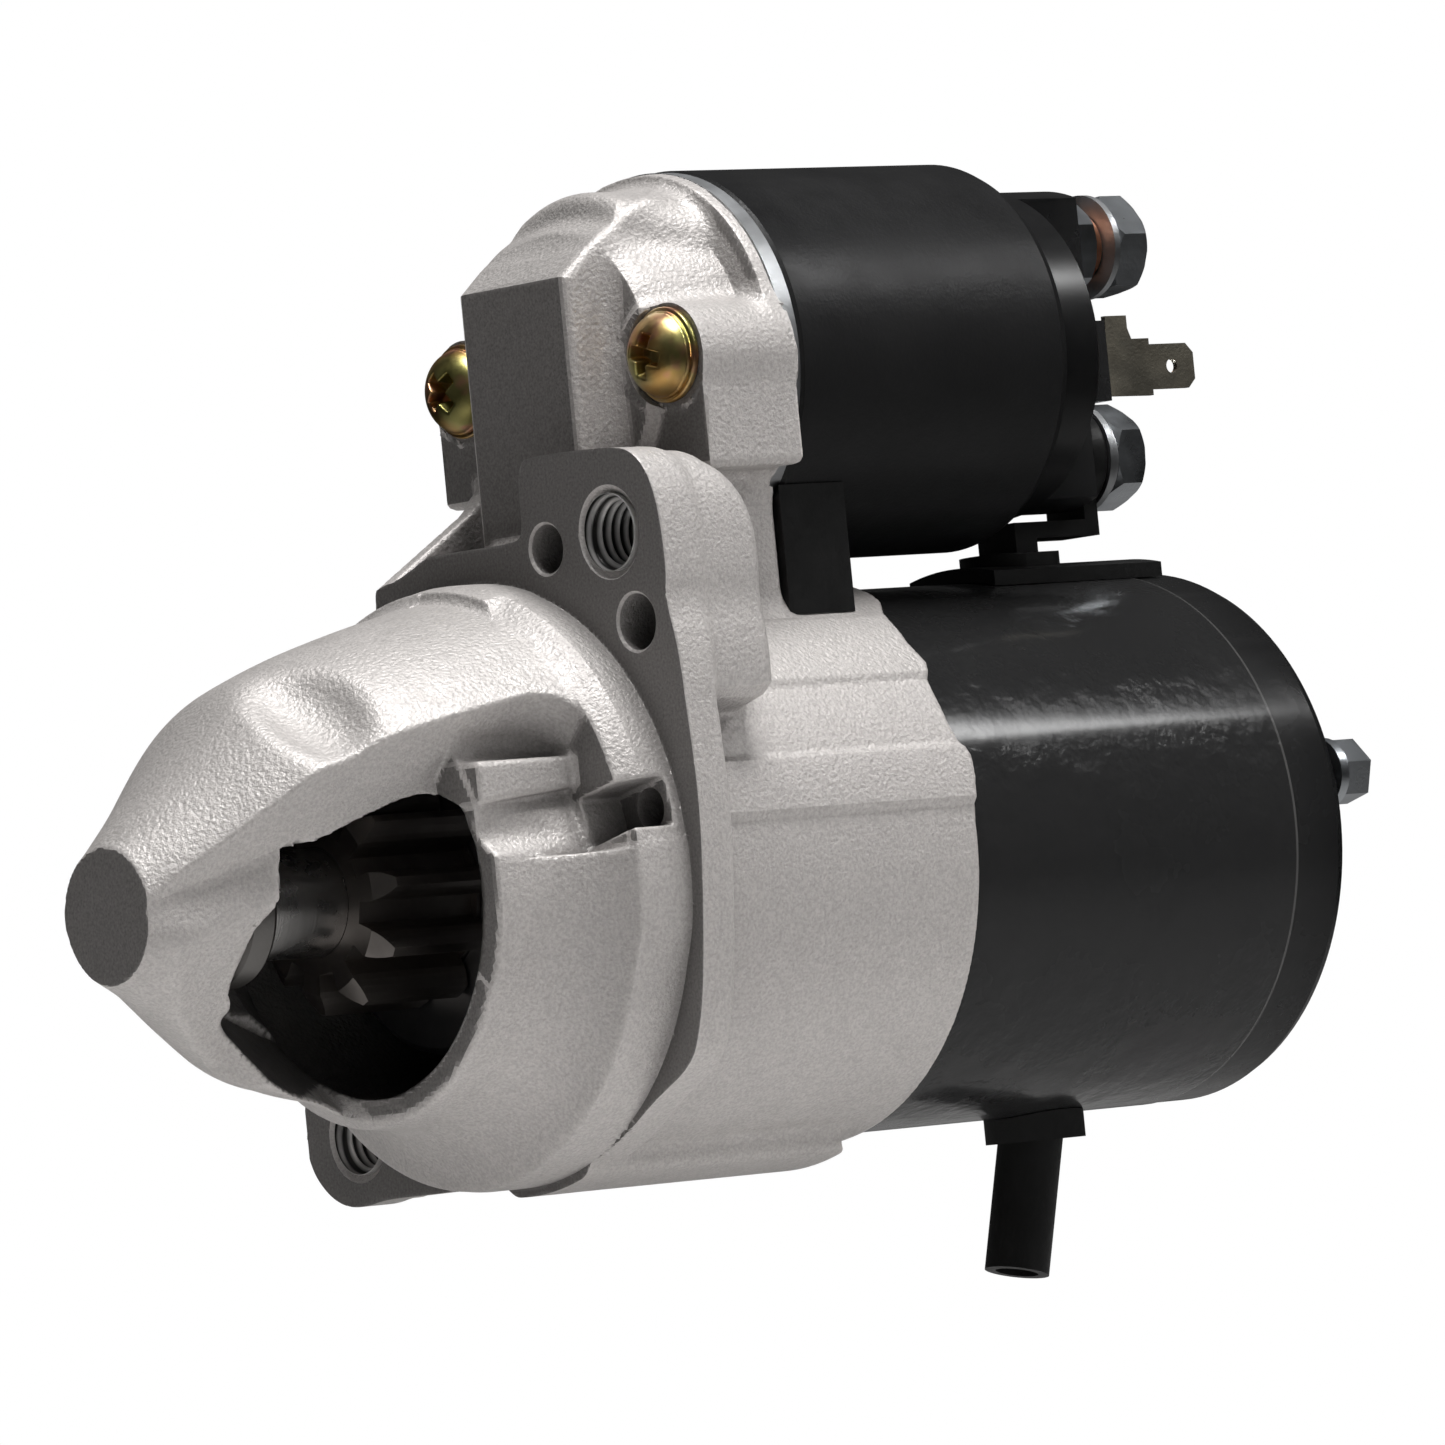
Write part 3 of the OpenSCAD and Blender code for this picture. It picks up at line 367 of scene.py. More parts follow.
# ---- Drive end housing: outlines and stations, mm ----
# Nose profiles (x, radius): the thick shell away from UNDER, and the lower one towards it
DOME = Outline(chaikin([
    (NOSE_TIP, 8.87), (-62, 11.9), (-58, 15.2), (-54, 18.7), (-50, 22.5), (-45, 27.1),
    (-42.5, 28.9), (-40, 30.1), (-32, 33), (-24, 35.2), (-16, 37.1), (-11, 38.1),
    (RING_X, 38.7), (-5.2, 40.45), (1, 40.5)], 2, False), mirror=True)
LOW_NOSE = Outline(chaikin([
    (NOSE_TIP, 8.87), (-62.5, 10.4), (-60, 11.9), (-57.5, 13.8), (-55, 15.7), (-52.5, 17.6),
    (-50, 19.4), (-47.5, 21.2), (-45, 22.9), (-42.5, 24), (-40, 24.6), (-37.5, 25.4),
    (-35, 26), (-32.5, 26.5), (-30, 27.1), (-27.5, 28.3), (-25, 30), (-24.5, 30.6),
    (-22, 30.9), (-18.5, 31.1), (-16, 31.7), (-13.5, 33.1), (-11.4, 35), (-9.9, 37.2),
    (-8.9, 39.2), (RING_X, 40.4), (1, 40.4)], 1, False), mirror=True)
# Turned cavity (x, radius)
CAVITY = Outline([
    (-61.6, 7.6), (-60.7, 7.6), (-60.7, 9), (-50.4, 9), (-50.4, 12), (-46.5, 16), (-34, 18.5),
    (-29, 22), (-24.5, 26.9), (-21, 26.5), (-8, 26.5), (6, 28), (14, 29.4), (38.2, 29.4),
    (38.2, 35), (50.6, 35), (50.6, YOKE_RADIUS + 0.05), (64, YOKE_RADIUS + 0.05)], mirror=True)
# Window in the nose (x, distance along ACROSS)
WINDOW = Outline(chaikin([
    (-50.5, -5), (-48.6, -6), (-48.6, -8.5), (-49.6, -10), (-47.6, -12.6), (-40.5, -17.7),
    (-30, -22.8), (-24.5, -24.4), (-24.5, 19.0), (-24.5, 22.4), (-27.4, 21.9), (-30.3, 20.8),
    (-35.9, 18.3), (-40.7, 15.9), (-44.2, 14.8), (-46.6, 13.4), (-47.5, 11.4), (-47.7, 7.2),
    (-50, 4.6)]))
# Flange (y, z), and the upper lug's part of its rim, which is shared
LUG_RIM = [(-13.2, 52.3), (-13.8, 55), (-15, 56), (-33, 55.4), (-36.5, 54.4), (-39, 51.8),
           (-40.6, 47), (-41.1, 39), (-40.3, 35)]
FLANGE = Outline(chaikin(LUG_RIM + [
    (-42.5, 28.1), (-43.4, 17.4), (-43.9, 8), (-43.1, -2.3), (-41.3, -15.4), (-39.5, -21.8),
    (-37.2, -26.3), (-28.9, -30.4), (-22, -34.6), (-15.6, -37.3), (-7.5, -39), (1.2, -39.7),
    (14, -39.9), (27.4, -40.1), (37, -40.3), (40.7, -39.5), (43.7, -37.4), (45.6, -35.2),
    (46.6, -32), (46.5, -27), (44.5, -22), (42.8, -12), (42.4, 0), (41, 11), (38, 19),
    (32, 28), (24, 36), (20.1, 38.5), (19.5, 42.2), (13.4, 43.4), (7.6, 45.2), (-8.6, 44.9),
    (-13.2, 45.6)]))
LUG_FACE = Outline(chaikin([(-13.2, 20)] + LUG_RIM + [(-41.5, 28), (-41, 20)]))
# Upper lug from the side (x, z)
LUG_SIDE = Outline(chaikin([
    (-6, 0), (18, 0), (18, 42), (17.2, 47.2), (15.2, 51.4), (12, 54.6), (11, 62), (-6, 62)], 1))
# Tower: side (x, z), half width (x, y), plan of its top (x, y), flare (x, solenoid radius)
ROOF = Outline([(12.2, 20), (12.2, 81), (16, 84.2), (20, 87), (24, 89.2), (28, 91),
                (32, 92.3), (TOWER_X, 93.2), (TOWER_X, 20)])
NECK = Outline(chaikin([(12, 16.8), (16, 19.6), (20, 22.6), (24, 24.3), (28, 24.7),
                        (TOWER_X, 24.8)], 2, False), mirror=True)
CROWN = Outline([(23, -10.5), (33, -16.2), (TOWER_X, -16.2), (TOWER_X, 16.2), (33, 16.2),
                 (23, 10.5)])
FLARE = Outline([(19, 12), (20, 18.6), (22, 19.6), (34, 22.2), (34.8, 24.6), (35.1, 26.4),
                 (TOWER_X, 26.6)], mirror=True)
# Web under the tower and pocket above it (y, z)
WEB = Outline([(17.4, 30), (17.2, 39.6), (16.1, 41.0), (7.9, 45.1), (-13.5, 45.1), (-13.5, 30)])
POCKET = Outline([(-8.6, 46), (7, 46), (1, 60), (-8.6, 60)])
# Shell round the yoke: degrees and raised height of its lands; degrees and x of its edge
LANDS = ([0, 60, 62, 84, 86, 94, 96, 118, 121.5, 123.3, 124.5, 142.5, 144, 159, 160.4, 170.8,
          172.2, 200, 360],
         [0, 0, .25, .25, 0, 0, .35, .35, .3, .3, .75, .75, .25, .25, .75, .75, 0, 0, 0])
SHELL_EDGE = (
    [0, 56, 62, 84, 88, 93, 97, 113, 117, 121.5, 125, 130, 134, 137, 140, 144, 148, 155, 159,
     162, 165, 169.5, 176, 200, 250, 360],
    [52.5, 53, 57.5, 57.8, 55, 55, 57.8, 58.0, 57.4, 55.5, 54.1, 53.7, 53.3, 53.5, 53.9, 52.7,
     52.4, 52.4, 53, 53.9, 53.8, 53.2, 52.7, 52.4, 52.3, 52.5])
# x, and how much narrower the cavity is there on its upper side
TIGHT = ([-51, -50.2, -47.3, -46.8, -42, -34, -29, -25.9, -25.0, -24.4, -13],
         [0, 2.2, 3.8, 0.2, 0.7, 1.3, 4.2, 7.2, 4.2, 3.6, 0])


def nose(x, y, z, radius, angle):
    under, across = along(y, z, UNDER), along(y, z, ACROSS)
    # Thick shell, which ends in a lip that turns down along the ring
    lip = meet(5.6 - under, x - RING_X, 8.0)
    dome = carve(DOME(x, radius), lip, 0.7)
    dome = meet(dome, -along(y, z, math.radians(100)) - 8.0, 8.0)
    # Oval dimple, slanted in x and radius
    out, back = radius - 33.15, x + 42.6
    dimple = np.sqrt(((0.91 * back + 0.41 * out) / 8.4) ** 2
                     + ((-0.41 * back + 0.91 * out) / 7.2) ** 2
                     + ((angle - 122.0) * 0.5166 / 14.2) ** 2)
    dome = carve(dome, (dimple - 1.0) * 6.5, 1.6)
    # Lower shell, cut to fit beside the window
    low = LOW_NOSE(x, radius)
    start = 5.6 + clip((34.2 + 0.42 * x - across) * 1.25, 0, 60)
    side = where(x > -47, maximum(start - under, 0.8 * (8.0 - across)), start - under)
    low = carve(low, maximum(side * 0.75, x + 24.5), 1.0)
    low = meet(low, (under - 11.0 - maximum(x + 47.0, 0.0) * 1.1) * 0.8, 1.0)
    # Recess under the lip, with a groove and a raised pad
    recess = maximum(29.1 - 0.447 * z + 0.894 * y, 2.9 - z)
    low = carve(low, where(y < 0, recess, 9.0), 0.6)
    recess = maximum(maximum(2.9 - z, 31.1 - radius), x - RING_X)
    low = carve(low, where(y < 0, recess, 9.0), 0.5)
    floor = interp(x, [-25, -14, -9.5], [32.1, 33.3, 34.6])
    groove = hypot(minimum(along(y, z, GROOVE) - floor, 0.0), along(z, -y, GROOVE))
    groove = groove - interp(x, [-25, -10], [3.8, 3.6])
    groove = maximum(groove, between(x, -27.0, -8.8))
    low = carve(low, groove, 1.0)
    pad = box(x, y, z, (-24.5, -7.0), (-29.1, -18.0), (10.2 + 0.09 * (x + 24.5), 15.9), 0.9)
    low = join(low, pad, 1.2)
    # Locating ring, chamfered except between 163 and 302 degrees
    ring = rod(x, y, z, RING_X, 1.5, RING_RADIUS, edge=0.3)
    ring = maximum(ring, rod(x, y, z, -9, 2, 41.1, -0.8, 5.5))
    plain = clip((minimum(angle - 163.0, 302.0 - angle)) * 0.4, 0, 1)
    chamfer = (radius - RING_RADIUS - 0.594 * (x + 5.0)) / 1.163 - 4.0 * plain
    ring = carve(maximum(ring, chamfer), groove)
    return maximum(join(join(dome, low, 1.4), ring, 0.8), x - 1.0)


def tower(x, y, z):
    """Neck, top and screw bosses that carry the solenoid."""
    half, can = np.abs(y), hypot(y, z - SOLENOID_Z)
    neck = maximum(meet(ROOF(x, z), half - 11.7, 1.6),
                   where(z > SOLENOID_Z, NECK(x, can), NECK(x, half)))
    neck = maximum(neck, 27 - z)
    crown = meet(maximum(can - 24.4, x - TOWER_X), CROWN(x, y), 3.0)
    crown = meet(crown, 83.6 - z, 1.5)
    solid = join(join(neck, FLARE(x, can), 3.0), crown, 1.8)
    boss = rod(x, half, z, SEAT_X, TOWER_X, 7.0, SCREW_Y, SOLENOID_Z)
    slab = meet(maximum(between(x, SEAT_X, TOWER_X), between(half, 10, 28.4)),
                between(z, 53, SOLENOID_Z), 1.4)
    solid = join(solid, join(boss, slab, 1.2), 3.2)
    skirt = box(x, y, z, (18, 38.5), (-20, 20), (25, 54), 1.6)
    return join(solid, skirt, 3.0)


def body(x, y, z, radius, angle):
    """Flange, shell round the yoke, lugs, ribs and tower: all at x > 0."""
    flange = meet(FLANGE(y, z), x - 6.0, 1.6)
    land = (interp(angle, *LANDS) - 0.25) * clip((x - 5) * 0.5, 0, 1)
    shell = meet(radius - 38.8 - land, x - interp(angle, *SHELL_EDGE), 0.9)
    solid = join(flange, shell, 3.2)
    solid = join(solid, meet(LUG_FACE(y, z), LUG_SIDE(x, z), 3.0), 2.6)
    low_lug = join(rod(x, y, z, -4, 12, 9.6, 36.7, -30.7),
                   box(x, y, z, (-4, 12), (20, 38), (-38, -22)), 2.0)
    solid = join(solid, meet(low_lug, x - 12.0, 1.5), 2.4)
    bottom_rib = meet(maximum(radius - 41.55, x - 45.5), arc(radius, angle, 262.5) - 8.4, 2.0)
    solid = join(solid, bottom_rib, 2.0)
    solid = join(solid, maximum(WEB(y, z), x - 14.0), 2.0)
    rib = maximum(np.abs(y - 18.8) - 1.3, maximum(36.0 - z, x - 20.0))
    solid = join(solid, meet(rib, (z - 42.2 - 0.61 * x) * 0.85, 0.8), 1.2)
    return maximum(join(solid, tower(x, y, z), 3.2), -x)


def housing(x, y, z):
    """Signed distance to the whole casting."""
    radius, half = hypot(y, z), np.abs(y)
    angle = np.degrees(np.arctan2(z, y)) % 360.0
    solid = minimum(nose(x, y, z, radius, angle), body(x, y, z, radius, angle))
    # Solenoid face and screw seats on the tower
    solid = carve(solid, rod(x, y, z, TOWER_X, 60, CAN_RADIUS + 0.3, 0, SOLENOID_Z))
    solid = carve(solid, rod(x, half, z, 8.0, SEAT_X, 7.2, SCREW_Y, SOLENOID_Z))
    # Turned cavity and nose window
    fade = where(x < -24.8, clip((180.0 - angle) / 8.0, 0, 1),
                 clip((157.0 - angle) / 11.0, 0, 1))
    tight = interp(x, *TIGHT) * fade * clip((angle - 60.0) / 20.0, 0, 1)
    solid = carve(solid, CAVITY(x, radius + tight))
    window = maximum(WINDOW(x, along(y, z, ACROSS)), -along(y, z, UNDER))
    solid = carve(solid, window, 1.0)
    # Notch in the ring, with a hole in its middle
    notch = meet(maximum(np.abs(x + 5.75) - 4.15, 31.0 - radius),
                 arc(radius, angle, NOTCH) - 3.35, 0.8)
    solid = carve(solid, notch, 0.5)
    solid = carve(solid, rod(x, y, z, -9, 7, 2.75, *polar(36.6, NOTCH)))
    # Hollow of the tower, its bore and the cross hole
    solid = carve(solid, box(x, y, z, (15.2, 37.8), (-9.4, 9.4), (20, SOLENOID_Z)))
    throat = interp(x, [15.2, 19, 30, 40], [10, 15, 18.4, 18.4])
    solid = carve(solid, maximum(hypot(y, z - SOLENOID_Z) - throat,
                                 maximum(maximum(15.2 - x, half - 9.4), 50 - z)))
    solid = carve(solid, rod(x, y, z, 26, 40, 12, 0, SOLENOID_Z))
    solid = carve(solid, maximum(hypot(x - 25.0, z - 38.943) - 3.0, half - 12.3))
    solid = carve(solid, rod(x, half, z, 12, 45, 3.3, SCREW_Y, SOLENOID_Z))
    solid = carve(solid, meet(POCKET(y, z), x - 9.0, 1.0), 0.8)
    # Countersunk holes in the flange: the two threaded mounts, then the smaller ones
    for (mid_y, mid_z), end in ((UPPER_MOUNT, 30), (LOWER_MOUNT, 20)):
        away = hypot(y - mid_y, z - mid_z)
        solid = carve(solid, maximum(minimum(away - 5.0, away + x - MOUNT_MOUTH),
                                     between(x, -0.5, end)))
    for mid_y, mid_z, hole in ((-17.2, 44, 3.3), (-34.5, 32.6, 3.75), (25, -31.4, 3.15)):
        away = hypot(y - mid_y, z - mid_z)
        solid = carve(solid, maximum(minimum(away - hole, away + x - hole - 0.35),
                                     between(x, -0.5, 10)))
    # Two lengthwise holes, opposite each other
    for degrees in (169, 349):
        solid = carve(solid, rod(x, y, z, 22, 52, 2.5, *polar(32.4, degrees)))
    return solid


def build_housing():
    verts, quads = contour(housing, (-66.5, -46, -43.5), (60, 49, 95.5), 0.6)
    ob = mesh_object("drive_housing_casting", verts, quads)
    thin(ob, min(1.0, 190000 / (2.0 * len(quads))))
    analytic_normals(ob, housing)
    # Keep the vertices within the CAD's bounds.
    mesh = ob.data
    verts = clip(read_vectors(mesh.vertices, "co") / MM, np.array(CAD_BOX[0]) / MM + 0.01,
                 np.array(CAD_BOX[1]) / MM - 0.01)
    mesh.vertices.foreach_set("co", (verts * MM).astype(np.float32).ravel())
    mesh.update()
    # Mark the inside of the gear space, which the material paints near black as shade.
    x, y, z = verts[:, 0], verts[:, 1], verts[:, 2]
    radius = hypot(y, z)
    inner = ((np.abs(CAVITY(x, radius)) < 0.5) | (radius < 25.5)) & (x > -60.5) & (x < 60)
    slope = gradient(housing, verts, 0.3)
    inward = (slope[:, 1] * y + slope[:, 2] * z) / maximum(radius, 1e-6) < -0.35
    mesh.attributes.new("inner", "FLOAT", "POINT").data.foreach_set(
        "value", where(inner & inward, 0.85, 0.0).astype(np.float32))
    return ob


# ---- Materials ----
class Material:
    """A node material, with short helpers."""
    MIX_SOCKETS = {"FLOAT": (2, 0), "VECTOR": (4, 1), "RGBA": (6, 2)}   # first input, output
    INPUTS = {"color": "Base Color", "metallic": "Metallic", "rough": "Roughness",
              "normal": "Normal", "coat": "Coat Weight", "coat_rough": "Coat Roughness",
              "spec": "Specular IOR Level"}

    def __init__(self, name):
        self.data = bpy.data.materials.new(name)
        self.data.use_nodes = True
        self.tree = self.data.node_tree
        self.shader = self.tree.nodes["Principled BSDF"]
        self.place = self.tree.nodes.new("ShaderNodeTexCoord").outputs["Object"]

    def put(self, socket, value):
        if isinstance(value, bpy.types.NodeSocket):
            self.tree.links.new(value, socket)
        elif isinstance(value, (tuple, list)) and len(value) == 3 and socket.type == "RGBA":
            socket.default_value = (*value, 1)
        else:
            socket.default_value = value

    def node(self, kind, inputs=None, **props):
        node = self.tree.nodes.new(kind)
        for key, value in props.items():
            setattr(node, key, value)
        for key, value in (inputs or {}).items():
            self.put(node.inputs[key], value)
        return node

    def noise(self, scale, detail=3.0, rough=0.55, vec=None):
        return self.node("ShaderNodeTexNoise", {
            "Vector": vec or self.place, "Scale": scale, "Detail": detail,
            "Roughness": rough}).outputs["Fac"]

    def wave(self, scale, distortion=0.0):
        return self.node("ShaderNodeTexWave", {
            "Vector": self.place, "Scale": scale, "Distortion": distortion},
            bands_direction="X").outputs["Fac"]

    def remap(self, value, span, to=(0.0, 1.0)):
        return self.node("ShaderNodeMapRange", {
            "Value": value, "From Min": span[0], "From Max": span[1],
            "To Min": to[0], "To Max": to[1]}).outputs["Result"]

    def math(self, operation, *values):
        return self.node("ShaderNodeMath", dict(enumerate(values)),
                         operation=operation).outputs[0]

    def mix(self, amount, low, high, kind="RGBA"):
        first, out = self.MIX_SOCKETS[kind]
        return self.node("ShaderNodeMix", {0: amount, first: low, first + 1: high},
                         data_type=kind).outputs[out]

    def stretch(self, *scale):
        return self.node("ShaderNodeMapping", {"Vector": self.place, "Scale": scale}).outputs[0]

    def bump(self, height, strength, dist, normal=None):
        inputs = {"Height": height, "Strength": strength, "Distance": dist}
        if normal is not None:
            inputs["Normal"] = normal
        return self.node("ShaderNodeBump", inputs).outputs[0]

    def xyz(self, vec=None):
        return self.node("ShaderNodeSeparateXYZ", {0: vec or self.place}).outputs

    def geometry(self, out):
        return self.node("ShaderNodeNewGeometry").outputs[out]

    def worn(self, color, edge, span, amount):
        """Another colour on the convex edges."""
        return self.mix(self.remap(self.geometry("Pointiness"), span=span, to=(0.0, amount)),
                        color, edge)

    def attribute(self, name):
        return self.node("ShaderNodeAttribute", attribute_name=name).outputs["Fac"]

    def finish(self, **inputs):
        for key, value in inputs.items():
            self.put(self.shader.inputs[self.INPUTS[key]], value)
        return self.data


def shade(color, factor):
    return tuple(min(1, channel * factor) for channel in color)


def machine_and_shade(mat, x, color, rough, normal):
    """Lathe finish on the faces that look towards -x, in a dark tone that is painted shade for
    that unlit side.
    """
    face = mat.remap(mat.xyz(mat.geometry("True Normal"))[0], span=(-0.97, -0.995))
    # The first compare keeps its wide default tolerance, so it takes in every x.
    flange = mat.math("MAXIMUM", mat.math("COMPARE", x, 0.0), 0.0, 0.0004)
    tip, ring = [mat.math("COMPARE", x, at * MM, 0.0004) for at in (NOSE_TIP, RING_X)]
    flat = mat.math("MULTIPLY", face,
                    mat.math("MAXIMUM", flange, mat.math("MAXIMUM", tip, ring)))
    lines = mat.noise(scale=1.0, detail=2, rough=0.5, vec=mat.stretch(200, 2600, 260))
    grain = mat.noise(scale=2600, detail=2, rough=0.6)
    # The dark tone is painted shade; the lines, grain and lower roughness are the real finish.
    turned_and_shaded = mat.mix(mat.remap(grain, span=(0.3, 0.7)),
                     low=(0.115, 0.108, 0.104), high=(0.20, 0.19, 0.183))
    ridges = mat.math("ADD", lines, mat.math("MULTIPLY", grain, 0.8))
    smooth = mat.remap(grain, span=(0.2, 0.8), to=(0.36, 0.52))
    return (mat.mix(flat, color, turned_and_shaded), mat.mix(flat, rough, smooth, "FLOAT"),
            mat.mix(flat, normal, mat.bump(ridges, strength=0.3, dist=0.00012), "VECTOR"))


def cast_metal(name, base, machined_and_shaded):
    mat = Material(name)
    big = mat.noise(scale=45)
    mid = mat.noise(scale=420, detail=4, rough=0.6)
    fine = mat.noise(scale=1500, rough=0.6)
    grit = mat.node("ShaderNodeTexVoronoi", {"Vector": mat.place, "Scale": 1250}
                    ).outputs["Distance"]
    grain = mat.noise(scale=2100, detail=2, rough=0.65)
    dark, light = shade(base, 0.78), shade(base, 1.22)
    color = mat.mix(mat.remap(grain, span=(0.36, 0.62)), dark, base)
    color = mat.mix(mat.math("MULTIPLY", mat.remap(mid, span=(0.4, 0.7)), 0.25), color, dark)
    spark = mat.remap(fine, span=(0.62, 0.78))
    color = mat.mix(mat.math("MULTIPLY", spark, 0.6), color, light)
    color = mat.worn(color, light, span=(0.51, 0.58), amount=0.35)
    color = mat.mix(1.0, color, color)      # passes the colour on unchanged
    color = mat.node("ShaderNodeHueSaturation", {
        "Color": color, "Value": mat.remap(big, span=(0.3, 0.7), to=(0.96, 1.03))}).outputs[0]
    rough = mat.math("ADD", mat.remap(mid, span=(0.3, 0.7), to=(0.45, 0.58)), 0.0)
    sand = mat.math("ADD", mat.math("MULTIPLY", fine, 0.9),
                    mat.math("MULTIPLY", mat.remap(grit, span=(0.0, 0.6)), 0.5))
    sand = mat.math("ADD", sand, mat.math("MULTIPLY", grain, 1.2))
    normal = mat.bump(sand, strength=0.6, dist=0.0002,
                      normal=mat.bump(mid, strength=0.3, dist=0.00022))
    metallic = 0.35
    # Painted shade: faces that look towards -x take a dark tone with a lathe finish.
    if machined_and_shaded:
        color, rough, normal = machine_and_shade(mat, mat.xyz()[0], color, rough, normal)
    # Painted shade: an ambient occlusion node darkens the colour towards near black in crevices
    # and recesses.
    crevice_shade = mat.node("ShaderNodeAmbientOcclusion", {"Distance": 0.009},
                      samples=5, only_local=True).outputs["AO"]
    color = mat.mix(mat.remap(crevice_shade, span=(0.25, 0.8), to=(0.72, 0.0)),
                    color, high=(0.035, 0.032, 0.03))
    # Painted shade: the inside of the gear space is darkened to near black and made less
    # metallic.
    if machined_and_shaded:
        inner_shade = mat.attribute("inner")
        color = mat.mix(inner_shade, color, mat.mix(
            mat.remap(mid, span=(0.3, 0.7)),
            low=(0.012, 0.011, 0.010), high=(0.035, 0.031, 0.028)))
        metallic = mat.mix(inner_shade, metallic, 0.1, "FLOAT")
    return mat.finish(color=color, metallic=metallic, rough=rough, normal=normal)


def metal(name, base, rough, dirt=(0.2, 0.18, 0.16), dirty=0.25, lines=0.0, bump=0.2,
          metallic=1.0, tint=None):
    """Metal with patches of dirt; lines is the depth of the tooling marks across x."""
    mat = Material(name)
    big = mat.noise(scale=90, detail=4, rough=0.6)
    height = fine = mat.noise(scale=1900, rough=0.6)
    color = mat.mix(mat.remap(big, span=(0.45, 0.75), to=(0.0, dirty)), base, dirt)
    if tint:
        color = mat.mix(mat.remap(mat.noise(scale=160, detail=2), span=(0.4, 0.62)),
                        color, tint)
    color = mat.worn(color, shade(base, 1.35), span=(0.52, 0.62), amount=0.4)
    if lines:
        marks = mat.noise(scale=1.0, detail=2, rough=0.6, vec=mat.stretch(3500, 60, 60))
        height = mat.math("ADD", mat.math("MULTIPLY", marks, lines),
                          mat.math("MULTIPLY", fine, 0.4))
    return mat.finish(color=color, metallic=metallic,
                      rough=mat.remap(big, span=(0.3, 0.7), to=(rough - 0.06, rough + 0.12)),
                      normal=mat.bump(height, strength=bump, dist=0.0001))


def paint(name, base, rough, wave, grain, coat, dust, spec, seam=None):
    """Black finish; wave and grain are (scale, bump strength), seam is the x of a line: a real
    joint with a bump, painted lighter as a painted highlight.
    """
    mat = Material(name)
    waves = mat.noise(scale=wave[0])
    grains = mat.noise(scale=grain[0], rough=0.6)
    specks = mat.noise(scale=320, detail=5, rough=0.7)
    color = mat.mix(mat.remap(specks, span=(0.5, 0.8), to=(0.0, dust)),
                    base, high=(0.35, 0.34, 0.33))
    color = mat.worn(color, (0.05, 0.05, 0.05), span=(0.53, 0.62), amount=0.25)
    gloss = mat.remap(mat.noise(scale=60, detail=4, rough=0.6), span=(0.3, 0.7),
                      to=(rough - 0.07, rough + 0.09))
    normal = mat.bump(waves, strength=wave[1], dist=0.0011)
    normal = mat.bump(grains, strength=grain[1], dist=0.00012, normal=normal)
    if seam is not None:
        # Painted highlight: the seam line is painted lighter than the black paint; its bump is
        # the real joint.
        line = mat.math("COMPARE", mat.xyz()[0], seam, 0.00026)
        color = mat.mix(line, color, high=(0.055, 0.054, 0.053))
        normal = mat.bump(line, strength=0.6, dist=0.0003, normal=normal)
    return mat.finish(color=color, metallic=0.0, rough=gloss, normal=normal, coat=coat,
                      coat_rough=max(0.08, rough - 0.12), spec=spec)


def soft(name, base, rough, grain, bump=0.3, spec=0.4, vary=1.5):
    """Rubber, plastic and other non-metals."""
    mat = Material(name)
    cloud = mat.noise(scale=130, detail=4, rough=0.6)
    grains = mat.noise(scale=grain, detail=4, rough=0.65)
    return mat.finish(
        color=mat.mix(mat.remap(cloud, span=(0.35, 0.7)), base, shade(base, vary)),
        rough=mat.remap(grains, span=(0.3, 0.7), to=(rough - 0.08, rough + 0.08)),
        normal=mat.bump(grains, strength=bump, dist=0.00025), spec=spec)


def cut_thread():
    mat = Material("cut_thread_aluminium")
    # Painted shade: the thread's roots are darkened to near black.
    root = mat.attribute("root")
    color = mat.mix(mat.remap(mat.noise(scale=300), span=(0.35, 0.7)),
                    low=(0.66, 0.65, 0.64), high=(0.46, 0.45, 0.44))
    color = mat.mix(mat.remap(root, span=(0.2, 0.75)), color, high=(0.022, 0.021, 0.02))
    return mat.finish(
        color=color, metallic=0.6,
        rough=mat.remap(mat.noise(scale=500), span=(0.3, 0.7), to=(0.28, 0.4)),
        normal=mat.bump(mat.noise(scale=1800), strength=0.2, dist=0.0001))


def yellow_zinc():
    mat = Material("yellow_zinc_plate")
    color = mat.mix(mat.remap(mat.noise(scale=190, detail=2, rough=0.5), span=(0.38, 0.6)),
                    low=(0.60, 0.36, 0.12), high=(0.72, 0.53, 0.27))
    color = mat.mix(mat.remap(mat.noise(scale=95, detail=2, rough=0.5), span=(0.48, 0.66),
                              to=(0, 0.85)), color, high=(0.36, 0.36, 0.12))
    color = mat.mix(mat.remap(mat.noise(scale=260, detail=2), span=(0.56, 0.7), to=(0, 0.7)),
                    color, high=(0.60, 0.27, 0.20))
    return mat.finish(
        color=color, metallic=1.0,
        rough=mat.remap(mat.noise(scale=500), span=(0.3, 0.7), to=(0.30, 0.44)),
        normal=mat.bump(mat.noise(scale=900), strength=0.2, dist=0.0001))


def copper_wire():
    mat = Material("enamelled_copper")
    # Painted shade: the colour darkens in the grooves between the turns, following the same wave
    # as the bump.
    turns = mat.wave(scale=700, distortion=1.2)
    return mat.finish(
        color=mat.mix(turns, low=(0.25, 0.07, 0.025), high=(0.62, 0.24, 0.09)), metallic=0.7,
        rough=mat.remap(mat.noise(scale=400), span=(0.3, 0.7), to=(0.25, 0.4)),
        normal=mat.bump(turns, strength=0.5, dist=0.0003), coat=0.5)


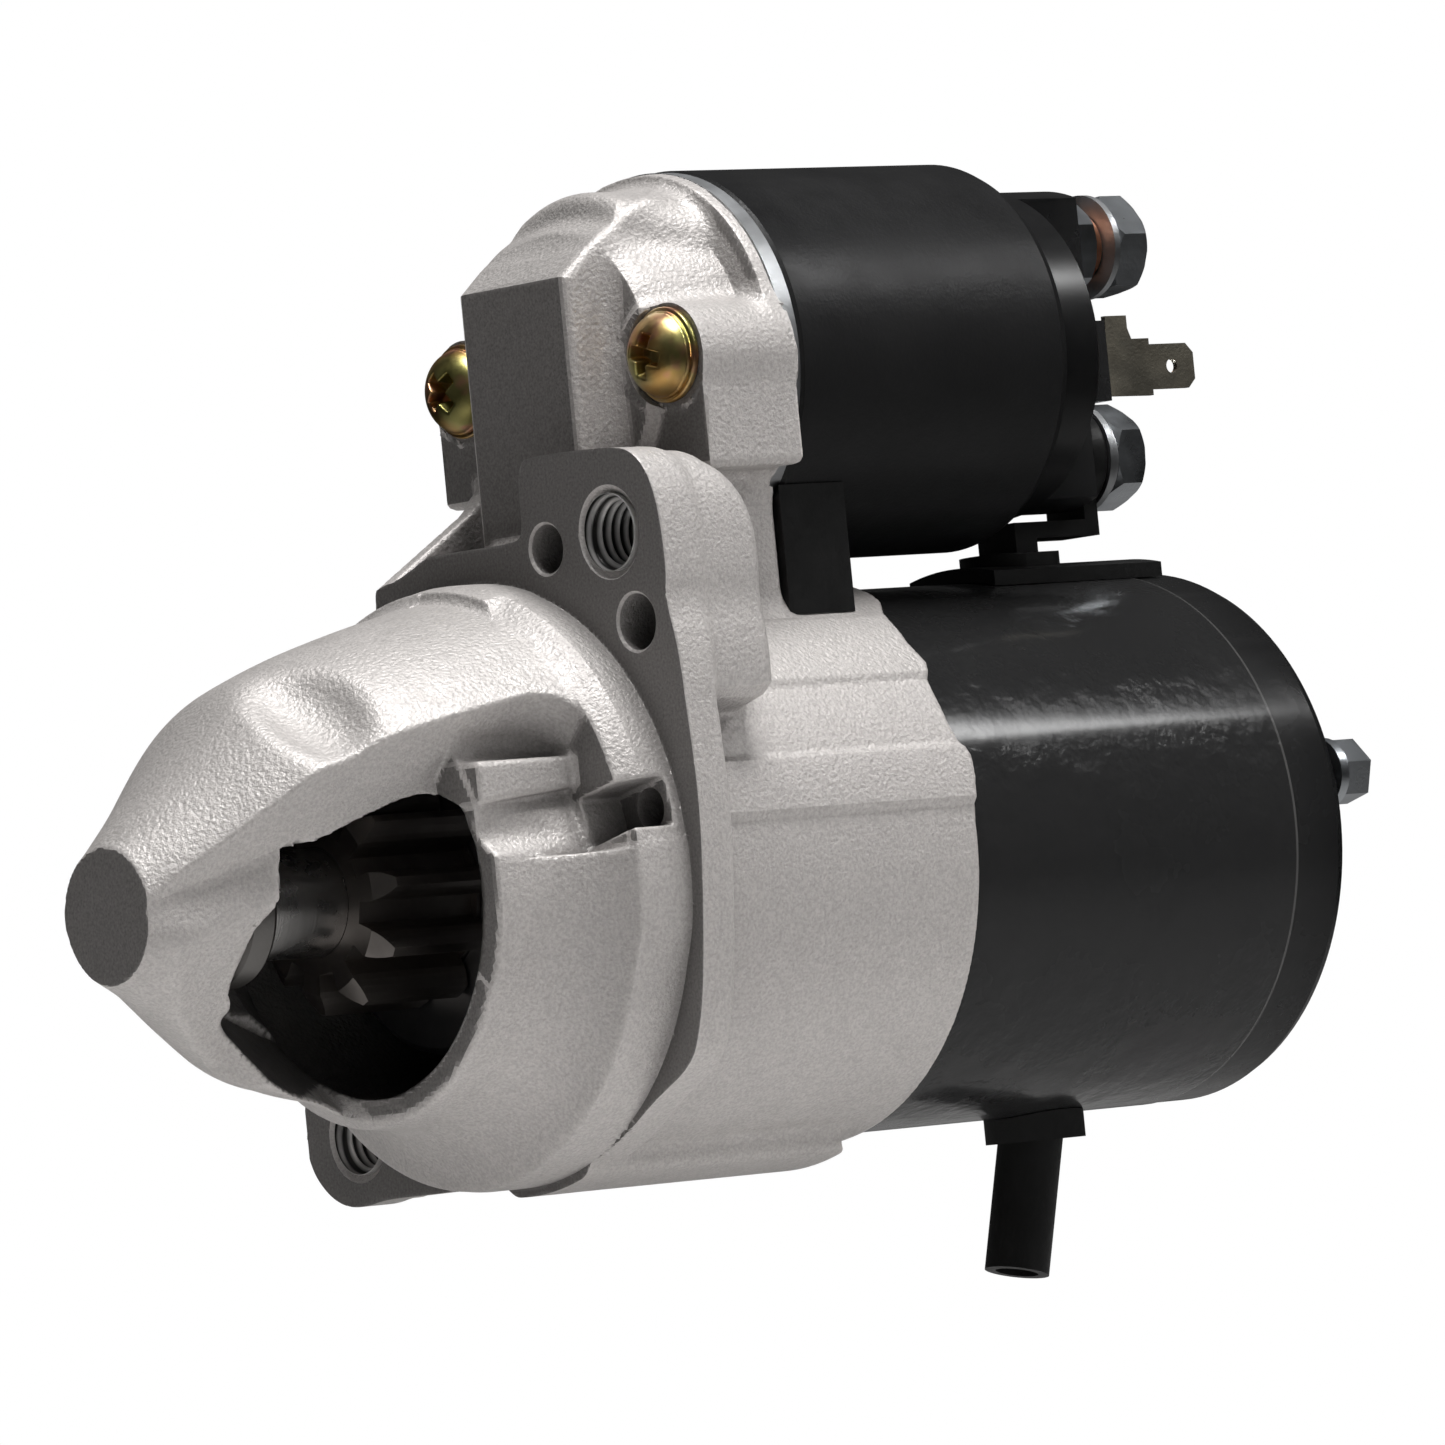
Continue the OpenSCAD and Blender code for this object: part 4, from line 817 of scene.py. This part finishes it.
def lamination():
    mat = Material("laminated_steel")
    sheets = mat.wave(scale=550)
    amount = mat.math("MULTIPLY", sheets, mat.remap(mat.noise(scale=200), span=(0.3, 0.7)))
    return mat.finish(color=mat.mix(amount, low=(0.18, 0.18, 0.19), high=(0.42, 0.42, 0.43)),
                      metallic=0.9, rough=0.42,
                      normal=mat.bump(sheets, strength=0.35, dist=0.0002))


def dress(look, names):
    """Give a material to the named CAD pieces, where model.glb has them."""
    for name in names.split():
        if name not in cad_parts:
            continue
        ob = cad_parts[name]
        if not ob.material_slots:
            ob.data.materials.append(look)
        for slot in ob.material_slots:
            slot.material = look
    return look


SEAM = 0.1119       # x of the seam between yoke and rear cover, metres
BLACK = (0.003, 0.003, 0.0032)
SATIN = (0.004, 0.004, 0.0043)
RUBBER = (0.005, 0.005, 0.005)

cast = dress(cast_metal("cast_aluminium_sand", (0.47, 0.445, 0.43), machined_and_shaded=True),
             "drive_housing")
dress(cast_metal("cast_aluminium_inner", (0.42, 0.41, 0.40), machined_and_shaded=False), "centre_bracket")
dress(metal("ground_steel", (0.55, 0.54, 0.53), rough=0.25, lines=0.7, bump=0.25),
      "lever_pivot_pin output_shaft planet_pins clutch_rollers armature_shaft rear_bearing "
      "fixed_core plunger")
dress(metal("hardened_steel", (0.27, 0.26, 0.25), rough=0.38, dirt=(0.12, 0.11, 0.10),
            dirty=0.5, bump=0.3), "stop_collar clutch_housing drive_sleeve")
dress(metal("oiled_gear_steel", (0.36, 0.33, 0.31), rough=0.38, dirt=(0.10, 0.085, 0.075),
            dirty=0.5, lines=0.5, bump=0.3),
      "planet_gear_a planet_gear_b planet_gear_c pinion_gear ring_gear")
dress(metal("bright_zinc", (0.52, 0.545, 0.57), rough=0.27, dirt=(0.30, 0.32, 0.35),
            dirty=0.45, bump=0.22), "brush_plate_screws through_bolts terminal_nuts")
dress(metal("dull_zinc", (0.42, 0.43, 0.44), rough=0.38, dirt=(0.25, 0.26, 0.27), dirty=0.4,
            bump=0.25),
      "stop_ring clutch_cover collar_ring armature_plate solenoid_front_plate plunger_hook "
      "contact_rod terminal_washers")
dress(metal("spring_wire", (0.34, 0.34, 0.35), rough=0.3, lines=0.3, bump=0.15),
      "meshing_spring brush_springs return_spring contact_spring")
dress(metal("sintered_bronze", (0.60, 0.38, 0.16), rough=0.42, dirt=(0.25, 0.14, 0.05),
            dirty=0.4, bump=0.5), "front_bush pilot_bush centre_bush")
dress(metal("drawn_copper", (0.78, 0.36, 0.22), rough=0.26, dirt=(0.38, 0.13, 0.07),
            dirty=0.35, bump=0.15),
      "commutator contact_disc battery_stud motor_stud terminal_sleeve")
dress(metal("tarnished_tin", (0.50, 0.46, 0.37), rough=0.38, dirt=(0.24, 0.21, 0.15),
            dirty=0.6, bump=0.4, tint=(0.40, 0.38, 0.32)), "spade_terminal")
dress(metal("phosphated_steel", (0.19, 0.19, 0.195), rough=0.48, bump=0.4, metallic=0.8),
      "shift_lever")
dress(paint("yoke_black_paint", BLACK, rough=0.24, wave=(170, 0.55), grain=(1000, 0.5),
            coat=0.35, dust=0.003, spec=0.06, seam=SEAM), "yoke_tube")
dress(paint("cover_black_paint", BLACK, rough=0.27, wave=(95, 0.16), grain=(1400, 0.2),
            coat=0.2, dust=0.003, spec=0.08, seam=SEAM), "rear_cover")
dress(paint("solenoid_satin_black", SATIN, rough=0.40, wave=(260, 0.06), grain=(1700, 0.36),
            coat=0.0, dust=0.003, spec=0.22), "solenoid_case")
dress(paint("cap_moulded_plastic", SATIN, rough=0.30, wave=(60, 0.05), grain=(900, 0.12),
            coat=0.1, dust=0.008, spec=0.35), "solenoid_cap")
dress(soft("moulded_rubber", RUBBER, rough=0.5, grain=900, bump=0.25, spec=0.3),
      "lever_seal lead_grommet drain_tube")
dress(soft("lead_sleeve", RUBBER, rough=0.42, grain=500, bump=0.2, spec=0.3), "motor_lead")
dress(soft("ground_ferrite", (0.05, 0.05, 0.052), rough=0.62, grain=1200, bump=0.4), "magnets")
dress(soft("phenolic_board", (0.075, 0.04, 0.02), rough=0.5, grain=600, bump=0.25),
      "brush_plate")
dress(soft("pressed_carbon", (0.035, 0.03, 0.028), rough=0.55, grain=1400), "brushes")
dress(soft("dark_nylon", (0.035, 0.03, 0.026), rough=0.45, grain=600, bump=0.15),
      "shift_collar")
dress(soft("bobbin_nylon", (0.62, 0.58, 0.48), rough=0.42, grain=500, bump=0.12, vary=1.1),
      "coil_bobbin")
yellow = dress(yellow_zinc(), "solenoid_screws")
dress(copper_wire(), "armature_windings solenoid_coil")
dress(lamination(), "armature_core")


# ---- Pieces ----
def finish_piece(ob, look, slot, *nodes):
    ob.data.materials.clear()
    ob.data.materials.append(look)
    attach(ob, "housing")
    if nodes:
        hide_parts(*nodes)


def pan_screw(name, side, turn):
    """Cross-recessed pan head with a plain washer, and its shank."""
    mid_y, mid_z, reach = side * SCREW_Y, SOLENOID_Z, 6.8

    def field(x, y, z):
        y, z = y - mid_y, z - mid_z
        radius = hypot(y, z)
        arms = along(y, z, turn), along(z, -y, turn)
        head = (np.sqrt(((x - 19.45) / 4.1) ** 2 + (radius / 5.75) ** 2) - 1.0) * 4.3
        head = meet(head, x - 19.5, 0.5)
        spread = clip(17.6 - x, 0, 3)       # the recess widens towards its mouth
        for wide, long in (arms, arms[::-1]):
            slot = meet(np.abs(wide) - (0.75 + spread * 0.14),
                        np.abs(long) - (2.5 + spread * 0.35), 0.3)
            head = carve(head, maximum(slot, x - 18.1), 0.35)
        washer = meet(radius - 6.45, np.abs(x - 19.95) - 0.5, 0.4)
        collar = meet(radius - 5.9, np.abs(x - 19.2) - 0.35, 0.3)
        shank = maximum(radius - 2.85, between(x, 19.9, 39.1))
        return join(minimum(minimum(head, washer), collar), shank, 0.3)

    ob = mesh_object(name, *contour(field, (15.0, mid_y - reach, mid_z - reach),
                                    (39.6, mid_y + reach, mid_z + reach),
                                    0.24))
    analytic_normals(ob, field)
    finish_piece(ob, yellow, "yellow_zinc", "solenoid_screws")


def thread_sleeve(name, centre, end):
    """The cut thread inside a mounting hole: a thin closed sleeve with a helical inner face."""
    pitch, crest, root, outer = 1.5, 4.22, 4.95, 5.12
    sides = 96
    stations = np.arange(0.02, end, 0.16)
    turns = np.linspace(0, 2 * np.pi, sides, endpoint=False)
    turn, x = np.meshgrid(turns, stations)
    phase = (x / pitch - turn / (2 * np.pi)) % 1.0
    depth = clip(np.abs(phase - 0.5) * 2 * 1.25 - 0.12, 0, 1)
    radius = minimum(maximum(crest + (root - crest) * depth, MOUNT_MOUTH - x), outer)
    inside = np.stack([x, centre[0] + radius * np.cos(turn), centre[1] + radius * np.sin(turn)],
                      -1).reshape(-1, 3)
    outside = np.array([[at, centre[0] + (outer + 0.1) * math.cos(t),
                         centre[1] + (outer + 0.1) * math.sin(t)]
                        for at in (stations[0], stations[-1]) for t in turns])
    rows = len(stations)
    faces = []
    for i in range(rows - 1):
        for j in range(sides):
            k = (j + 1) % sides
            faces.append((i * sides + j, i * sides + k, (i + 1) * sides + k,
                          (i + 1) * sides + j))
    near = rows * sides         # first vertices of the outer rings and the last inner row
    far, last = near + sides, near - sides
    for j in range(sides):
        k = (j + 1) % sides
        faces += [(near + j, far + j, far + k, near + k), (j, near + j, near + k, k),
                  (last + j, last + k, far + k, far + j)]
    ob = mesh_object(name, np.vstack([inside, outside]), faces, sharp=40)
    # The root attribute marks the thread's roots, which the material paints dark as shade.
    ob.data.attributes.new("root", "FLOAT", "POINT").data.foreach_set(
        "value", np.concatenate([depth.ravel(), np.zeros(2 * sides)]).astype(np.float32))
    finish_piece(ob, thread_look, "cast_aluminium")


finish_piece(build_housing(), cast, "cast_aluminium", "drive_housing")
thread_look = cut_thread()
pan_screw("pan_screw_left", side=-1, turn=0.3)
pan_screw("pan_screw_right", side=1, turn=0.9)
thread_sleeve("thread_upper", UPPER_MOUNT, end=17.9)
thread_sleeve("thread_lower", LOWER_MOUNT, end=11.9)


# ---- Stage, light and camera ----
def stage_floor():
    """Floor that the camera sees as pure white, with a soft glow in reflections."""
    z = CAD_BOX[0][2] / MM - 0.8
    half = 6000.0
    ob = mesh_object("floor", [(-half, -half, z), (half, -half, z), (half, half, z),
                               (-half, half, z)], [(0, 1, 2, 3)], smooth=False)
    mat = Material("pale_floor")
    mat.finish(color=(0.86, 0.86, 0.86), rough=0.7)

    def emission(color, strength):
        return mat.node("ShaderNodeEmission", {"Color": color, "Strength": strength}).outputs[0]

    def choose(amount, first, second):
        return mat.node("ShaderNodeMixShader", {0: amount, 1: first, 2: second}).outputs[0]

    glow = emission(color=(1, 0.99, 0.975), strength=0.22)
    lit = mat.node("ShaderNodeAddShader", {0: mat.shader.outputs[0], 1: glow}).outputs[0]
    rays = mat.node("ShaderNodeLightPath").outputs
    place = mat.xyz()
    away = mat.math("ADD", mat.math("POWER", mat.math("SUBTRACT", place[0], 0.06), 2.0),
                    mat.math("POWER", place[1], 2.0))
    fade = mat.remap(mat.math("SQRT", away, 0.0), span=(0.1, 0.32), to=(0.42, 0.0))
    lit = choose(rays["Is Glossy Ray"], lit, emission(color=(1, 0.99, 0.98), strength=fade))
    seen = choose(rays["Is Camera Ray"], lit, emission(color=(1, 1, 1), strength=1.0))
    mat.tree.links.new(seen, mat.tree.nodes["Material Output"].inputs[0])
    ob.data.materials.append(mat.data)


def light_world():
    """White to the camera, dark grey to everything else."""
    world = bpy.data.worlds.new("studio")
    scene.world = world
    world.use_nodes = True
    nodes, link = world.node_tree.nodes, world.node_tree.links.new
    nodes.clear()
    rays = nodes.new("ShaderNodeLightPath")
    mix = nodes.new("ShaderNodeMixShader")
    link(rays.outputs["Is Camera Ray"], mix.inputs[0])
    for socket, grey in ((1, 0.035), (2, 1)):
        background = nodes.new("ShaderNodeBackground")
        background.inputs["Color"].default_value = (grey, grey, grey, 1)
        background.inputs["Strength"].default_value = 1.0
        link(background.outputs[0], mix.inputs[socket])
    link(mix.outputs[0], nodes.new("ShaderNodeOutputWorld").inputs[0])


def softbox(name, at, target, size, power, glossy=True):
    lamp = bpy.data.lights.new(name, "AREA")
    lamp.shape = "SQUARE"
    lamp.size = size
    lamp.energy = power
    ob = bpy.data.objects.new(name, lamp)
    ob.location = at
    ob.rotation_euler = (Vector(target) - Vector(at)).to_track_quat("-Z", "Y").to_euler()
    ob.visible_camera = False
    ob.visible_glossy = glossy
    scene.collection.objects.link(ob)


def place_camera():
    data = bpy.data.cameras.new("camera")
    data.sensor_width = 36.0
    data.lens = 276.51
    data.clip_end = 50
    camera = bpy.data.objects.new("camera", data)
    # Rotation in the first three columns, position in the last
    camera.matrix_world = Matrix((
        (0.7650752, 0.05046067, -0.64196079, -0.9312),
        (-0.63670071, -0.08979658, -0.76586472, -1.1611),
        (-0.09629193, 0.994681, -0.03657279, -0.0352),
        (0, 0, 0, 1)))
    scene.collection.objects.link(camera)
    scene.camera = camera


stage_floor()
light_world()
softbox("softbox_key", at=(0.02, -0.36, 1.52), target=(0.02, 0, 0.02), size=0.7, power=38)
softbox("softbox_rim", at=(1.0, -0.80, 0.96), target=(0.04, 0, 0.02), size=0.24, power=4.6)
softbox("softbox_front", at=(0.15, -2.2, 0.75), target=(0.02, 0, 0.0), size=1.8, power=6,
        glossy=False)
softbox("softbox_back", at=(0.7, 2.1, 0.7), target=(0.02, 0, 0.0), size=1.6, power=12,
        glossy=False)
place_camera()
scene.view_settings.view_transform = "Standard"
